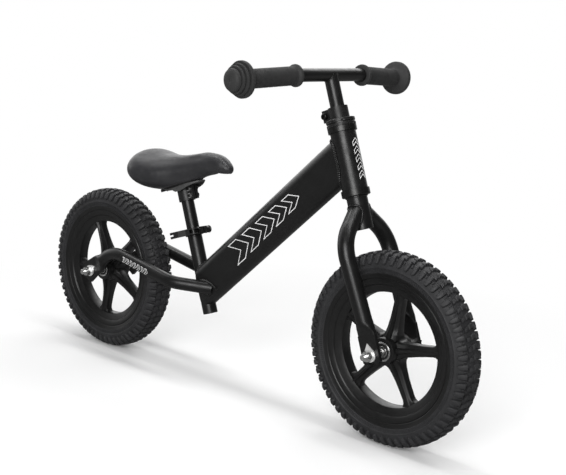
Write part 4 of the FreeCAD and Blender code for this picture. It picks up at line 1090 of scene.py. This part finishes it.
def make_floor():
    """A pale sweep of paper whose far part fades to plain white."""
    reach = 12.0
    mesh = bpy.data.meshes.new("floor")
    mesh.from_pydata([(-reach, -reach, 0), (reach, -reach, 0), (reach, reach, 0),
                      (-reach, reach, 0)], [], [(0, 1, 2, 3)])
    material, tree, shader = new_material("floor_white", (0.93,) * 3, 0.9, specular=0.0)
    wired(tree, ramp(tree, grain(tree, 400, 2), [(0.3, (0.925,) * 3), (0.7, (0.935,) * 3)]),
          shader, "Base Color")
    distance = tree.nodes.new("ShaderNodeVectorMath")
    distance.operation = "LENGTH"
    tree.links.new(place_of(tree), distance.inputs[0])
    fade = add_node(tree, "ShaderNodeMapRange", Value=distance.outputs["Value"])
    fade.inputs["From Min"].default_value = 0.45
    fade.inputs["From Max"].default_value = 1.0
    glow = add_node(tree, "ShaderNodeEmission", Strength=1.0)
    mix = tree.nodes.new("ShaderNodeMixShader")
    tree.links.new(fade.outputs["Result"], mix.inputs["Fac"])
    tree.links.new(shader.outputs["BSDF"], mix.inputs[1])
    tree.links.new(glow.outputs["Emission"], mix.inputs[2])
    paths = tree.nodes.new("ShaderNodeLightPath")
    dim = add_node(tree, "ShaderNodeEmission", Strength=FLOOR_IN_REFLECTIONS)
    final = tree.nodes.new("ShaderNodeMixShader")
    tree.links.new(paths.outputs["Is Glossy Ray"], final.inputs["Fac"])
    tree.links.new(mix.outputs["Shader"], final.inputs[1])
    tree.links.new(dim.outputs["Emission"], final.inputs[2])
    tree.links.new(final.outputs["Shader"], tree.nodes["Material Output"].inputs["Surface"])
    mesh.materials.append(material)
    floor = bpy.data.objects.new("floor", mesh)
    bpy.context.scene.collection.objects.link(floor)


def softbox(name, place, target, size, power, roll=0.0):
    data = bpy.data.lights.new(name, "AREA")
    data.shape = "RECTANGLE"
    data.size, data.size_y = size
    data.energy = power
    lamp = bpy.data.objects.new(name, data)
    facing = (Vector(target) - Vector(place)).to_track_quat("-Z", "Y")
    lamp.location = place
    lamp.rotation_euler = (facing.to_matrix() @ Matrix.Rotation(roll, 3, "Z")).to_euler()
    bpy.context.scene.collection.objects.link(lamp)


def make_stage():
    """World, floor and lamps, and the camera in front of the right side."""
    scene = bpy.context.scene
    make_world()
    make_floor()
    softbox("overhead_strip", (0.0, 0.0, 2.0), (0, 0, 0), (3.0, 0.26), 20)
    softbox("tall_front", (1.35, -2.4, 1.45), (0.0, 0.0, 0.35), (1.6, 1.7), 62)
    softbox("back_top", (-0.6, 2.2, 2.2), (0.0, 0.0, 0.3), (2.2, 1.2), 18)

    camera_data = bpy.data.cameras.new("camera")
    camera_data.sensor_width = 36
    camera_data.lens = 69.778
    camera_data.shift_x = 0.0022
    camera_data.shift_y = -0.0261
    camera = bpy.data.objects.new("camera", camera_data)
    right = Vector((0.74115, 0.66931, 0.052127)).normalized()
    up = Vector((-0.162145, 0.103123, 0.981365))
    up = (up - right * up.dot(right)).normalized()
    axes = Matrix((right, up, right.cross(up))).transposed().to_4x4()
    camera.matrix_world = Matrix.Translation((1.25215, -1.30865, 0.63366)) @ axes
    scene.collection.objects.link(camera)
    scene.camera = camera
    scene.view_settings.view_transform = "Standard"


# ---------------------------------------------------------------- all of it

finish_cad_nodes()
for wheel_name, hub_body, spoke_angle in (("front", "fork", 82.7), ("rear", "frame", 115.4)):
    make_tyre(wheel_name)
    make_rim(wheel_name, spoke_angle)
    make_bearings(wheel_name)
    make_axle_hardware(wheel_name, hub_body)
for grip_side in SIDES:
    make_grip(grip_side)
make_saddle()
make_saddle_plate()
make_headset()
make_welds()
make_decals()
make_stage()
